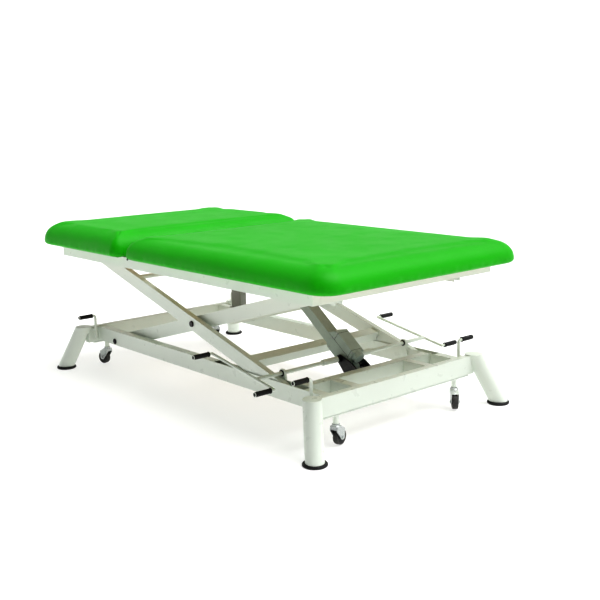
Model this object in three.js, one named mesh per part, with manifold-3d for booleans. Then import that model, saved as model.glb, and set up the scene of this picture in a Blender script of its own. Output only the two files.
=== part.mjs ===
// Two-section electric examination couch on a scissor lift. Millimetres, +Z up.
// +X runs to the foot end, -Y is the side nearer the viewer, the floor is z = 0.
import * as THREE from "three";
import { mergeVertices } from "three/addons/utils/BufferGeometryUtils.js";
import Module from "manifold-3d";

// ---- Driving dimensions ----
const GAP = 0.3;

// Upholstery
const PAD_HEAD_X = -1080;
const PAD_FOOT_X = 1045;
const PAD_HALF_WIDTH = 554;
const PAD_BOTTOM = 617.6;
const HEAD_PAD_TOP = 722;
const BODY_PAD_TOP = 711;
const PAD_WIDEST = 640;
const PAD_CORNER = 100;
const PAD_TOP_INSET = 88;
const PAD_LOW_INSET = 30;
const SPLIT_X = -314;
const SPLIT_HALF_GAP = 10.5;
const BOARD_INSET = 34;
const BOARD_THICKNESS = 14;

// Top frame
const FRAME_HALF_LENGTH = 921;
const FRAME_HALF_WIDTH = 497;
const FRAME_BOTTOM = 569;
const FRAME_TOP = 617;
const FRAME_TUBE = 40;
const HINGE_Z = 641;
const HINGE_LUG_RADIUS = 8;

// Base frame
const BASE_X = 18;
const RAIL_INNER = 351;
const RAIL_OUTER = 391;
const RAIL_BOTTOM = 139;
const RAIL_TOP = 208;
const END_INNER = 830;
const END_OUTER = 861;
const END_HALF_WIDTH = 448;
const END_BOTTOM = 133;
const END_TOP = 211;
const WALL = 3;
const INNER_CROSS_NEAR = 658;
const INNER_CROSS_FAR = 698;
const DIVIDER_Y = 208;
const DIVIDER_WIDTH = 40;
const SLOT_START = 160;
const SLOT_END = 742;

// Legs
const FOOT_X = 934;
const FOOT_Y = 526;
const LEG_TOP_X = 851;
const LEG_TOP_Y = 461;
const LEG_TOP_Z = 215;
const LEG_RADIUS = 36;
const FOOT_RADIUS = 47;
const FOOT_HEIGHT = 12;

// Scissor arms
const LIFT_ANGLE = THREE.MathUtils.degToRad(16);
const PIVOT_X = -655;
const PIVOT_Z = 157;
const HALF_SPAN = 661;
const TOP_PIVOT_Z = 560;
const ARM_HALF_DEPTH = 30;
const ARM_WIDTH = 26;
const OUTER_ARM_Y = 371;
const INNER_ARM_Y = 332;
const TONGUE = 8;
const LOW_ROLLER_RADIUS = 14.6;
const HIGH_ROLLER_RADIUS = 28;
const ROLLER_HALF_WIDTH = 15;

// Actuator
const ACTUATOR_X = 622;
const ACTUATOR_Z = 198;
const EAR_U = 234;
const EAR_V = 124;
const EAR_PIN = 5;
const EYE_RADIUS = 20;
const EYE_HOLE = 12.8;
const EYE_OFFSET = [-4.1, -5.1];
const HOUSING_LENGTH = 378;

// Foot-control bars and castor levers
const PEDAL_Y = 480;
const PEDAL_HEAD = [284, 282];
const PEDAL_FOOT = [676, 212.4];
const PEDAL_SHAFT_SHARE = 0.73;
const PEDAL_TIP_Y = 574;
const GRIP_LENGTH = 76;
const GRIP_RADIUS = 9.5;
const ROD_RADIUS = 6;
const LEVER_X = 802;
const LEVER_Y = 421;
const LEVER_PIVOT_Z = 200;
const LEVER_TOP_Z = 272;
const LEVER_LOW_Z = 158;

// Castors
const CASTOR_X = 846;
const CASTOR_Y = 340;
const WHEEL_RADIUS = 31;
const WHEEL_HALF_WIDTH = 12;
const WHEEL_Z = 35;
const CASTOR_TRAIL = 24;

// ---- Materials ----
function finish(color, roughness, metalness) {
  return new THREE.MeshStandardMaterial({ color, roughness, metalness });
}
const white = finish(0xe6eae0, 0.42, 0.05);
const vinyl = finish(0x3fc22c, 0.5, 0.0);
const rubber = finish(0x0d0e0d, 0.7, 0.0);
const black = finish(0x121312, 0.45, 0.0);
const grey = finish(0x8b9894, 0.5, 0.1);
const steel = finish(0xb9bec0, 0.3, 0.9);
const zinc = finish(0xa7b0b0, 0.32, 0.85);
const plywood = finish(0xb99a6b, 0.75, 0.0);

// ---- Solids ----
const wasm = await Module();
wasm.setup();

function solid(geometry) {
  const bare = geometry.index ? geometry.toNonIndexed() : geometry.clone();
  bare.deleteAttribute("normal");
  bare.deleteAttribute("uv");
  const merged = mergeVertices(bare, 1e-4);
  const mesh = new wasm.Mesh({
    numProp: 3,
    vertProperties: new Float32Array(merged.attributes.position.array),
    triVerts: new Uint32Array(merged.index.array),
  });
  return new wasm.Manifold(mesh);
}

function joined(parts) {
  return parts.slice(1).reduce((whole, part) => whole.add(part), parts[0]);
}

function without(body, cuts) {
  return cuts.reduce((rest, cut) => rest.subtract(cut), body);
}

function box(x0, x1, y0, y1, z0, z1) {
  const geometry = new THREE.BoxGeometry(x1 - x0, y1 - y0, z1 - z0);
  geometry.translate((x0 + x1) / 2, (y0 + y1) / 2, (z0 + z1) / 2);
  return solid(geometry);
}

// A box of which y runs between two distances from the middle, on one side (-1 or 1).
function sideBox(side, x0, x1, near, far, z0, z1) {
  return box(x0, x1, Math.min(side * near, side * far), Math.max(side * near, side * far), z0, z1);
}

// A round bar from point a to point b.
function bar(radius, a, b, segments = 16, radiusEnd = radius) {
  const from = new THREE.Vector3(...a);
  const to = new THREE.Vector3(...b);
  const along = to.clone().sub(from);
  const geometry = new THREE.CylinderGeometry(radiusEnd, radius, along.length(), segments);
  geometry.translate(0, along.length() / 2, 0);
  const turn = new THREE.Quaternion().setFromUnitVectors(new THREE.Vector3(0, 1, 0), along.normalize());
  geometry.applyQuaternion(turn);
  geometry.translate(from.x, from.y, from.z);
  return solid(geometry);
}

function ball(radius, centre, segments = 12) {
  const geometry = new THREE.SphereGeometry(radius, segments, segments / 2);
  geometry.translate(...centre);
  return solid(geometry);
}

// A round bar bent through the given points, with a ball at every bend.
function bentBar(radius, points) {
  const parts = points.slice(1).map((point, i) => bar(radius, points[i], point, 12));
  const bends = points.slice(1, -1).map((point) => ball(radius * 1.001, point));
  return joined([...parts, ...bends]);
}

// A plate drawn in x and z, between y0 and y1.
function plate(outline, y0, y1) {
  const shape = new THREE.Shape(outline.map(([x, z]) => new THREE.Vector2(x, z)));
  const geometry = new THREE.ExtrudeGeometry(shape, { depth: y1 - y0, bevelEnabled: false });
  geometry.rotateX(Math.PI / 2);
  geometry.translate(0, y1, 0);
  return solid(geometry);
}

function sidePlate(side, outline, near, far) {
  return plate(outline, Math.min(side * near, side * far), Math.max(side * near, side * far));
}

// A square tube closed at both ends, with one drain hole in its underside.
function closedTube(x0, x1, y0, y1, z0, z1, drain) {
  const outside = box(x0, x1, y0, y1, z0, z1);
  const inside = box(x0 + WALL, x1 - WALL, y0 + WALL, y1 - WALL, z0 + WALL, z1 - WALL);
  const hole = bar(4, [drain[0], drain[1], z0 - 1], [drain[0], drain[1], z0 + WALL + 1], 12);
  return without(outside, [inside, hole]);
}

// ---- Assembly ----
const couch = new THREE.Group();
couch.name = "examination_couch";

// Every body is moved along x so that the couch's box is centred on the origin.
function add(name, body, material, turn = 0, shift = [0, 0, 0]) {
  const mesh = body.getMesh();
  const geometry = new THREE.BufferGeometry();
  geometry.setAttribute("position", new THREE.BufferAttribute(new Float32Array(mesh.vertProperties), 3));
  geometry.setIndex(new THREE.BufferAttribute(new Uint32Array(mesh.triVerts), 1));
  const faceted = geometry.toNonIndexed();
  faceted.rotateZ(turn);
  faceted.translate(...shift);
  faceted.translate(-(PAD_HEAD_X + PAD_FOOT_X) / 2, 0, 0);
  faceted.computeVertexNormals();
  const part = new THREE.Mesh(faceted, material);
  part.name = name;
  couch.add(part);
}

const SIDES = [["near", -1], ["far", 1]];
const ENDS = [["foot", 1], ["head", -1]];

// ---- Scissor geometry ----
const SIN = Math.sin(LIFT_ANGLE);
const COS = Math.cos(LIFT_ANGLE);
const CENTRE_X = PIVOT_X + HALF_SPAN;
const CENTRE_Z = PIVOT_Z + HALF_SPAN * Math.tan(LIFT_ANGLE);
const LOWER = HALF_SPAN / COS;
const UPPER = (TOP_PIVOT_Z - CENTRE_Z) / SIN;

// Points of the inner arm rise to the foot end, points of the outer arm rise to the head end.
// u runs along the arm from the centre pivot upwards, v across it upwards.
function innerPoint([u, v]) {
  return [CENTRE_X + u * COS - v * SIN, CENTRE_Z + u * SIN + v * COS];
}
function outerPoint([u, v]) {
  return [CENTRE_X - u * COS + v * SIN, CENTRE_Z + u * SIN + v * COS];
}

function crossBar(radius, [x, z], y0, y1, segments = 16) {
  return bar(radius, [x, y0, z], [x, y1, z], segments);
}

// ---- Base frame ----
const pedalShaft = PEDAL_HEAD.map((value, i) => value + PEDAL_SHAFT_SHARE * (PEDAL_FOOT[i] - value));

function legAxis(end, side) {
  const foot = new THREE.Vector3(BASE_X + end * FOOT_X, side * FOOT_Y, FOOT_HEIGHT);
  const top = new THREE.Vector3(BASE_X + end * LEG_TOP_X, side * LEG_TOP_Y, LEG_TOP_Z);
  const lean = top.clone().sub(foot).normalize();
  return [foot.clone().addScaledVector(lean, -80).toArray(), top.clone().addScaledVector(lean, 80).toArray()];
}

for (const [sideName, side] of SIDES) {
  const length = END_INNER - GAP;
  const outside = sideBox(side, BASE_X - length, BASE_X + length, RAIL_INNER, RAIL_OUTER, RAIL_BOTTOM, RAIL_TOP);
  const inside = sideBox(
    side, BASE_X - length - 1, BASE_X + length + 1, RAIL_INNER + WALL, RAIL_OUTER - WALL, RAIL_BOTTOM + WALL,
    RAIL_TOP - WALL,
  );
  const slot = sideBox(side, SLOT_START, SLOT_END, RAIL_INNER + WALL, RAIL_OUTER - WALL, RAIL_TOP - 10, RAIL_TOP + 1);
  const pin = crossBar(10.3, [PIVOT_X, PIVOT_Z], -RAIL_OUTER - 5, RAIL_OUTER + 5, 16);
  // Bearing plate that carries the foot-control shaft over the rail.
  const [x, z] = pedalShaft;
  const outline = [[x - 26, 180], [x + 26, 180], [x + 16, z + 8], [x + 8, z + 16], [x - 8, z + 16], [x - 16, z + 8]];
  const bearing = sidePlate(side, outline, RAIL_INNER - 8, RAIL_INNER + 1);
  const bore = crossBar(8.3, pedalShaft, -RAIL_OUTER - 5, RAIL_OUTER + 5, 16);
  add(`base_rail_${sideName}`, without(joined([outside, bearing]), [inside, slot, pin, bore]), white);
}

for (const [endName, end] of ENDS) {
  const x0 = Math.min(BASE_X + end * END_INNER, BASE_X + end * END_OUTER);
  const x1 = Math.max(BASE_X + end * END_INNER, BASE_X + end * END_OUTER);
  const outside = box(x0, x1, -END_HALF_WIDTH, END_HALF_WIDTH, END_BOTTOM, END_TOP);
  const inside = box(
    x0 + WALL, x1 - WALL, -END_HALF_WIDTH + WALL, END_HALF_WIDTH - WALL, END_BOTTOM + WALL, END_TOP - WALL,
  );
  const legs = SIDES.map(([, side]) => bar(LEG_RADIUS + GAP, ...legAxis(end, side), 32));
  add(`base_end_${endName}`, without(outside, [inside, ...legs]), white);
}

{
  const reach = RAIL_INNER - GAP;
  const x0 = BASE_X + INNER_CROSS_NEAR;
  const x1 = BASE_X + INNER_CROSS_FAR;
  const x2 = BASE_X + END_INNER - GAP;
  const edges = [DIVIDER_Y - DIVIDER_WIDTH / 2, DIVIDER_Y + DIVIDER_WIDTH / 2];
  const cross = box(x0, x1, -reach, reach, RAIL_BOTTOM, RAIL_TOP);
  const bore = box(x0 + WALL, x1 - WALL, -reach - 1, reach + 1, RAIL_BOTTOM + WALL, RAIL_TOP - WALL);
  const dividers = SIDES.map(([, side]) => sideBox(side, x1 - 5, x2, ...edges, RAIL_BOTTOM, RAIL_TOP));
  const bores = SIDES.map(([, side]) => sideBox(
    side, x0 + 10, x2 + 1, edges[0] + WALL, edges[1] - WALL, RAIL_BOTTOM + WALL, RAIL_TOP - WALL,
  ));
  add("base_inner_frame", without(joined([cross, ...dividers]), [bore, ...bores]), white);
}

for (const [endName, end] of ENDS) {
  for (const [sideName, side] of SIDES) {
    const axis = legAxis(end, side);
    const slab = box(-1200, 1200, -800, 800, FOOT_HEIGHT + GAP, LEG_TOP_Z);
    const hollow = box(-1200, 1200, -800, 800, 0, LEG_TOP_Z - 4);
    const tube = bar(LEG_RADIUS, ...axis, 32).intersect(slab);
    const bore = bar(LEG_RADIUS - WALL, ...axis, 32).intersect(hollow);
    add(`leg_${endName}_${sideName}`, tube.subtract(bore), white);

    const profile = [[0, 0], [FOOT_RADIUS - 4, 0], [FOOT_RADIUS, 3], [FOOT_RADIUS, 8], [FOOT_RADIUS - 3, FOOT_HEIGHT]];
    const lathe = [...profile, [0, FOOT_HEIGHT]].map(([r, z]) => new THREE.Vector2(r, z));
    const disc = new THREE.LatheGeometry(lathe, 32);
    disc.rotateX(Math.PI / 2);
    disc.translate(BASE_X + end * FOOT_X, side * FOOT_Y, 0);
    add(`foot_${endName}_${sideName}`, solid(disc), rubber);
  }
}

{
  const face = BASE_X + INNER_CROSS_NEAR - GAP;
  const [sx, sz] = pedalShaft;
  const ear = [
    [face, 142], [face, 202], [642, 224], [sx + 12, sz + 15], [sx, sz + 18], [sx - 12, sz + 13], [sx - 18, sz],
    [sx - 12, sz - 13], [596, 176], [632, 142],
  ];
  const ears = SIDES.map(([, side]) => sidePlate(side, ear, 36, 42));
  const back = box(face - 6, face, -42, 42, 142, 202);
  const pin = crossBar(6, [ACTUATOR_X, ACTUATOR_Z], -42, 42);
  const bore = crossBar(8.3, pedalShaft, -60, 60, 16);
  add("actuator_bracket", without(joined([back, ...ears, pin]), [bore]), black);
}

// ---- Scissor arms ----
function arm(side, middle, outline, hollow, place, cuts) {
  const half = ARM_WIDTH / 2;
  const outside = sidePlate(side, outline.map(place), middle - half, middle + half);
  const inside = sidePlate(side, hollow.map(place), middle - half + WALL, middle + half - WALL);
  return without(outside, [inside, ...cuts]);
}

function tipCuts(side, middle, place, start) {
  const outline = [[start[0], -60], [start[1], -60], [start[1], 60], [start[0], 60]].map(place);
  return [
    sidePlate(side, outline, middle - ARM_WIDTH, middle - TONGUE / 2),
    sidePlate(side, outline, middle + TONGUE / 2, middle + ARM_WIDTH),
  ];
}

const H = ARM_HALF_DEPTH;
const BOLT_HOLE = 10.3;

for (const [sideName, side] of SIDES) {
  // Outer arm: roller tip at the lower foot end, square end at the upper head end.
  const outline = [
    [-LOWER - 11, -6], [-LOWER - 5, -12], [-LOWER + 118, -H], [UPPER + 40, -H], [UPPER + 40, H], [-LOWER + 60, H],
    [-LOWER + 6, 12], [-LOWER - 5, 12], [-LOWER - 11, 6],
  ];
  const w = H - WALL;
  const hollow = [[-LOWER + 125, -w], [UPPER + 40 - WALL, -w], [UPPER + 40 - WALL, w], [-LOWER + 70, w], [-LOWER + 40, 0]];
  const holes = [
    crossBar(BOLT_HOLE, outerPoint([0, 0]), -420, 420, 16),
    crossBar(8.3, outerPoint([UPPER, 0]), -420, 420, 16),
    crossBar(6.3, outerPoint([-LOWER, 0]), -420, 420, 16),
  ];
  const cuts = [...holes, ...tipCuts(side, OUTER_ARM_Y, outerPoint, [-LOWER - 40, -LOWER + 22])];
  add(`arm_outer_${sideName}`, arm(side, OUTER_ARM_Y, outline, hollow, outerPoint, cuts), white);
}

for (const [sideName, side] of SIDES) {
  // Inner arm: pinned to the base rail at the lower head end, roller tip at the upper foot end.
  const outline = [
    [-LOWER - 34, -14], [-LOWER - 16, -H], [UPPER - 34, -H], [UPPER - 20, -16], [UPPER + 8, -14], [UPPER + 14, -6],
    [UPPER + 14, 6], [UPPER + 8, 14], [UPPER - 20, 16], [UPPER - 34, H], [-LOWER - 16, H], [-LOWER - 34, 14],
  ];
  const w = H - WALL;
  const hollow = [[-LOWER - 28, -12], [-LOWER - 14, -w], [UPPER - 44, -w], [UPPER - 44, w], [-LOWER - 14, w], [-LOWER - 28, 12]];
  const holes = [
    crossBar(BOLT_HOLE, innerPoint([0, 0]), -420, 420, 16),
    crossBar(6.3, innerPoint([UPPER, 0]), -420, 420, 16),
  ];
  const cuts = [...holes, ...tipCuts(side, INNER_ARM_Y, innerPoint, [UPPER - 34, UPPER + 30])];
  const tube = arm(side, INNER_ARM_Y, outline, hollow, innerPoint, cuts);
  const from = side * (INNER_ARM_Y - ARM_WIDTH / 2);
  const pin = crossBar(10, [PIVOT_X, PIVOT_Z], Math.min(from, side * 393), Math.max(from, side * 393), 16);
  add(`arm_inner_${sideName}`, tube.add(pin), white);
}

function strutBox([u, v], halfU, halfV, place) {
  return [[u - halfU, v - halfV], [u + halfU, v - halfV], [u + halfU, v + halfV], [u - halfU, v + halfV]].map(place);
}

{
  const reach = OUTER_ARM_Y - ARM_WIDTH / 2 - GAP;
  const outside = plate(strutBox([-388, 0], 25, 18, outerPoint), -reach, reach);
  const inside = plate(strutBox([-388, 0], 22, 15, outerPoint), -reach - 1, reach + 1);
  // The ends are notched underneath, clear of the rails when the couch is low.
  const notches = SIDES.map(([, side]) => sidePlate(side, strutBox([-388, -12], 30, 12, outerPoint), RAIL_INNER - 2, 400));
  add("outer_arm_cross_low", without(outside, [inside, ...notches]), white);
  const upper = outerPoint([512, 0]);
  add("outer_arm_cross_high", crossBar(11, upper, -reach, reach, 16).subtract(crossBar(8.5, upper, -400, 400, 16)), white);
}

{
  // Torque tube of the inner arms, with the two ears that the actuator pushes.
  const reach = INNER_ARM_Y - ARM_WIDTH / 2 - GAP;
  const middle = innerPoint([EAR_U, 0]);
  const tube = crossBar(24, middle, -reach, reach, 32);
  const bore = crossBar(21, middle, -400, 400, 32);
  const outline = [
    [EAR_U - 23, 6], [EAR_U + 23, 6], [EAR_U + 13, EAR_V + 4], [EAR_U + 6, EAR_V + 13], [EAR_U - 6, EAR_V + 13],
    [EAR_U - 13, EAR_V + 4],
  ].map(innerPoint);
  const ears = SIDES.map(([, side]) => sidePlate(side, outline, 16, 22));
  const pin = crossBar(EAR_PIN, innerPoint([EAR_U, EAR_V]), -22, 22);
  add("torque_tube", joined([tube, ...ears, pin]).subtract(bore), white);
}

for (const [sideName, side] of SIDES) {
  const [x, z] = innerPoint([0, 0]);
  const at = (y) => [x, side * y, z];
  const shaft = bar(10, at(314), at(390), 16);
  const inner = bar(15, at(311), at(318.7), 16);
  const collar = bar(15, at(345.3), at(357.7), 16);
  const cap = bar(14, at(384.3), at(391), 16, 12);
  add(`centre_bolt_${sideName}`, joined([shaft, inner, collar, cap]), black);
}

for (const [sideName, side] of SIDES) {
  const rollers = [
    ["low", outerPoint([-LOWER, 0]), OUTER_ARM_Y, LOW_ROLLER_RADIUS],
    ["high", innerPoint([UPPER, 0]), INNER_ARM_Y, HIGH_ROLLER_RADIUS],
  ];
  for (const [level, [x, z], middle, radius] of rollers) {
    const at = (offset) => [x, side * (middle + offset), z];
    const axle = bar(6, at(-ROLLER_HALF_WIDTH), at(ROLLER_HALF_WIDTH), 16);
    const discs = [-1, 1].map((k) => bar(radius, at(k * (TONGUE / 2 + 0.5)), at(k * ROLLER_HALF_WIDTH), 24));
    add(`roller_${level}_${sideName}`, joined([axle, ...discs]), black);
  }
}

// ---- Top frame ----
for (const [sideName, side] of SIDES) {
  const inner = FRAME_HALF_WIDTH - FRAME_TUBE;
  const y0 = Math.min(side * inner, side * FRAME_HALF_WIDTH);
  const y1 = Math.max(side * inner, side * FRAME_HALF_WIDTH);
  const drain = [0, side * (inner + 20)];
  const tube = closedTube(-FRAME_HALF_LENGTH, FRAME_HALF_LENGTH, y0, y1, FRAME_BOTTOM, FRAME_TOP, drain);
  // Hinge lug of the backrest, standing up between the two cushions.
  const r = HINGE_LUG_RADIUS;
  const stem = sideBox(side, SPLIT_X - r, SPLIT_X + r, inner - 8.7, inner + 1, FRAME_BOTTOM + 6, HINGE_Z);
  const head = bar(r, [SPLIT_X, side * (inner - 8.7), HINGE_Z], [SPLIT_X, side * (inner + 1), HINGE_Z], 16);
  const bore = crossBar(4.8, [SPLIT_X, HINGE_Z], -480, 480, 16);
  const inside = box(
    -FRAME_HALF_LENGTH + WALL, FRAME_HALF_LENGTH - WALL, y0 + WALL, y1 - WALL, FRAME_BOTTOM + WALL, FRAME_TOP - WALL,
  );
  add(`frame_side_${sideName}`, without(joined([tube, stem, head]), [bore, inside]), white);
}

const FRAME_REACH = FRAME_HALF_WIDTH - FRAME_TUBE - GAP;
for (const [endName, end] of ENDS) {
  const x0 = Math.min(end * FRAME_HALF_LENGTH, end * (FRAME_HALF_LENGTH - FRAME_TUBE));
  const tube = closedTube(x0, x0 + FRAME_TUBE, -FRAME_REACH, FRAME_REACH, FRAME_BOTTOM, FRAME_TOP, [x0 + 20, 0]);
  add(`frame_end_${endName}`, tube, white);
}

{
  add("frame_cross_foot", closedTube(560, 600, -FRAME_REACH, FRAME_REACH, FRAME_BOTTOM, FRAME_TOP, [580, 0]), white);

  // Head cross-member with the brackets that hold the outer arms' upper pivots.
  const [px, pz] = outerPoint([UPPER, 0]);
  const x1 = px - 56;
  const tube = closedTube(x1 - 40, x1, -FRAME_REACH, FRAME_REACH, FRAME_BOTTOM, FRAME_TOP, [x1 - 20, 0]);
  const outline = [[x1 - 10, 572], [x1 - 2, 548], [px - 8, 544], [px + 14, 546], [px + 20, 562], [px + 8, 582], [x1 - 2, 600]];
  const parts = SIDES.flatMap(([, side]) => [
    sidePlate(side, outline, 347, 353),
    sidePlate(side, outline, 389, 395),
    bar(8, [px, side * 347, pz], [px, side * 395, pz], 16),
  ]);
  const inside = box(
    x1 - 40 + WALL, x1 - WALL, -FRAME_REACH + WALL, FRAME_REACH - WALL, FRAME_BOTTOM + WALL, FRAME_TOP - WALL,
  );
  add("frame_cross_head", joined([tube, ...parts]).subtract(inside), white);
}

for (const [sideName, side] of SIDES) {
  const x0 = 600 + GAP;
  const x1 = FRAME_HALF_LENGTH - FRAME_TUBE - GAP;
  const top = TOP_PIVOT_Z + HIGH_ROLLER_RADIUS + GAP;
  const outside = sideBox(side, x0, x1, INNER_ARM_Y - 20, INNER_ARM_Y + 20, 545, top + WALL);
  const inside = sideBox(side, x0 - 1, x1 + 1, INNER_ARM_Y - 17, INNER_ARM_Y + 17, 540, top);
  add(`roller_track_${sideName}`, outside.subtract(inside), white);
}

// ---- Backrest frame and upholstery ----
{
  const x0 = SPLIT_X - 76;
  const x1 = SPLIT_X - 36;
  const reach = FRAME_REACH - 20;
  const tube = closedTube(x0, x1, -reach, reach, FRAME_BOTTOM + 4, FRAME_TOP - GAP, [x0 + 20, 0]);
  const r = HINGE_LUG_RADIUS;
  const lugs = SIDES.flatMap(([, side]) => {
    const arm = sideBox(side, x1 - 6, SPLIT_X + r, 428, reach, FRAME_BOTTOM + 8, FRAME_TOP - 4);
    const stem = sideBox(side, SPLIT_X - r, SPLIT_X + r, 428, reach, FRAME_BOTTOM + 8, HINGE_Z);
    const head = bar(r, [SPLIT_X, side * 428, HINGE_Z], [SPLIT_X, side * reach, HINGE_Z], 16);
    const pin = bar(4.5, [SPLIT_X, side * 428, HINGE_Z], [SPLIT_X, side * 456, HINGE_Z], 16);
    return [arm, stem, head, pin];
  });
  const inside = box(x0 + WALL, x1 - WALL, -reach + WALL, reach - WALL, FRAME_BOTTOM + 7, FRAME_TOP - GAP - WALL);
  add("backrest_frame", joined([tube, ...lugs]).subtract(inside), white);
}

// Points round a rectangle with round corners.
function roundedRing(x0, x1, y0, y1, radius, steps) {
  const corners = [[x1, y1, 0], [x0, y1, 1], [x0, y0, 2], [x1, y0, 3]];
  return corners.flatMap(([x, y, quarter]) => {
    const cx = x === x1 ? x1 - radius : x0 + radius;
    const cy = y === y1 ? y1 - radius : y0 + radius;
    return Array.from({ length: steps + 1 }, (_, i) => {
      const angle = (quarter + i / steps) * (Math.PI / 2);
      return [cx + radius * Math.cos(angle), cy + radius * Math.sin(angle)];
    });
  });
}

// A flat slab with round corners in plan.
function roundSlab(x0, x1, y0, y1, radius, z0, z1) {
  const shape = new THREE.Shape(roundedRing(x0, x1, y0, y1, radius, 6).map(([x, y]) => new THREE.Vector2(x, y)));
  const geometry = new THREE.ExtrudeGeometry(shape, { depth: z1 - z0, bevelEnabled: false });
  geometry.translate(0, 0, z0);
  return solid(geometry);
}

// A slab with soft edges, built from rings one above the other.
function softSlab(x0, x1, top) {
  const levels = [];
  const low = 3;
  const high = 6;
  for (let i = 0; i <= low; i += 1) {
    const angle = (i / low) * (Math.PI / 2);
    const z = PAD_WIDEST - (PAD_WIDEST - PAD_BOTTOM) * Math.cos(angle);
    levels.push([PAD_LOW_INSET * (1 - Math.sin(angle)), z]);
  }
  for (let i = 1; i <= high; i += 1) {
    const angle = (i / high) * (Math.PI / 2);
    levels.push([PAD_TOP_INSET * (1 - Math.cos(angle)), PAD_WIDEST + (top - PAD_WIDEST) * Math.sin(angle)]);
  }
  const positions = [];
  const faces = [];
  let count = 0;
  for (const [inset, z] of levels) {
    const ring = roundedRing(
      x0 + inset, x1 - inset, -PAD_HALF_WIDTH + inset, PAD_HALF_WIDTH - inset, PAD_CORNER - inset, 6,
    );
    ring.forEach(([x, y]) => positions.push(x, y, z));
    count = ring.length;
  }
  for (let level = 0; level < levels.length - 1; level += 1) {
    for (let i = 0; i < count; i += 1) {
      const a = level * count + i;
      const b = level * count + ((i + 1) % count);
      faces.push(a, b, b + count, a, b + count, a + count);
    }
  }
  const middle = (x0 + x1) / 2;
  const bottom = positions.length / 3;
  positions.push(middle, 0, PAD_BOTTOM, middle, 0, top);
  const last = (levels.length - 1) * count;
  for (let i = 0; i < count; i += 1) {
    const next = (i + 1) % count;
    faces.push(bottom, next, i);
    faces.push(bottom + 1, last + i, last + next);
  }
  const geometry = new THREE.BufferGeometry();
  geometry.setAttribute("position", new THREE.Float32BufferAttribute(positions, 3));
  geometry.setIndex(faces);
  return solid(geometry);
}

const SECTIONS = [
  ["head", PAD_HEAD_X, SPLIT_X - SPLIT_HALF_GAP, HEAD_PAD_TOP],
  ["body", SPLIT_X + SPLIT_HALF_GAP, PAD_FOOT_X, BODY_PAD_TOP],
];
for (const [name, x0, x1, padTop] of SECTIONS) {
  const y = PAD_HALF_WIDTH - BOARD_INSET;
  const top = FRAME_TOP + GAP + BOARD_THICKNESS;
  const radius = PAD_CORNER - BOARD_INSET;
  const recess = roundSlab(x0 + BOARD_INSET, x1 - BOARD_INSET, -y, y, radius, 600, top + GAP);
  add(`cushion_${name}`, softSlab(x0, x1, padTop).subtract(recess), vinyl);
  const inset = BOARD_INSET + GAP;
  const board = roundSlab(x0 + inset, x1 - inset, -y + GAP, y - GAP, radius - GAP, FRAME_TOP + GAP, top);
  add(`board_${name}`, board, plywood);
}

// ---- Actuator ----
{
  // The rod's eye sits round the ear pin with play, off centre at this height.
  const [ex, ez] = innerPoint([EAR_U, EAR_V]).map((value, i) => value + EYE_OFFSET[i]);
  const length = Math.hypot(ex - ACTUATOR_X, ez - ACTUATOR_Z);
  const ax = (ex - ACTUATOR_X) / length;
  const az = (ez - ACTUATOR_Z) / length;
  // s runs along the actuator from its lower pin, t across it towards the foot end.
  const place = ([s, t]) => [ACTUATOR_X + s * ax + t * az, ACTUATOR_Z + s * az - t * ax];
  const point = (s, t, y) => {
    const [x, z] = place([s, t]);
    return [x, y, z];
  };
  const rectangle = (s0, s1, t0, t1) => [[s0, t0], [s1, t0], [s1, t1], [s0, t1]].map(place);

  const eye = joined([
    crossBar(15, [ACTUATOR_X, ACTUATOR_Z], -12, 12, 16),
    plate(rectangle(0, 40, -15, 15), -12, 12),
  ]);
  const profile = plate(rectangle(30, HOUSING_LENGTH, -22, 22), -26, 26);
  const gearbox = plate([[22, -10], [34, -30], [150, -30], [162, -22], [162, 30], [22, 30]].map(place), -30, 30);
  const motor = plate(rectangle(26, 150, 28, 66), -30, 30);
  const motorEnd = joined([
    plate(rectangle(12, 30, 34, 60), -24, 16),
    bar(24, point(4, 47, 0), point(30, 47, 0), 28),
  ]);
  const slope = plate([[150, 28], [184, 28], [150, 66]].map(place), -30, 30);
  const bore = bar(12.4, point(96, 0, 0), point(HOUSING_LENGTH + 5, 0, 0), 16);
  const pinHole = crossBar(6.3, [ACTUATOR_X, ACTUATOR_Z], -30, 30, 16);
  const housing = joined([eye, profile, gearbox, motor, motorEnd, slope]);
  add("actuator_housing", without(housing, [bore, pinHole]), grey);

  const rod = bar(12, point(170, 0, 0), point(length - 16, 0, 0), 16);
  const head = joined([
    crossBar(EYE_RADIUS, [ex, ez], -12, 12, 24),
    plate([[length - 44, -13], [length, -18], [length, 18], [length - 44, 13]].map(place), -12, 12),
  ]);
  const eyeHole = crossBar(EYE_HOLE, [ex, ez], -30, 30, 20);
  add("actuator_rod", without(joined([rod, head]), [eyeHole]), steel);
}

// ---- Foot-control bars ----
for (const [sideName, side] of SIDES) {
  const [hx, hz] = PEDAL_HEAD;
  const [fx, fz] = PEDAL_FOOT;
  const [sx, sz] = pedalShaft;
  const y = side * PEDAL_Y;
  const bent = bentBar(ROD_RADIUS, [[hx, side * 503, hz], [hx, y, hz], [fx, y, fz], [fx, side * 503, fz]]);
  const grips = [[hx, hz], [fx, fz]].map(([x, z]) => (
    bar(GRIP_RADIUS, [x, side * (PEDAL_TIP_Y - GRIP_LENGTH), z], [x, side * PEDAL_TIP_Y, z], 16, GRIP_RADIUS * 0.96)
  ));
  const shaft = bar(8, [sx, side * 34, sz], [sx, y, sz], 16);
  const sleeve = bar(13, [sx, side * 56, sz], [sx, side * 136, sz], 16);
  const collar = bar(12, [sx, side * 43, sz], [sx, side * 52, sz], 16);
  add(`pedal_bar_${sideName}`, joined([bent, ...grips, shaft, sleeve, collar]), white);
}

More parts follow.
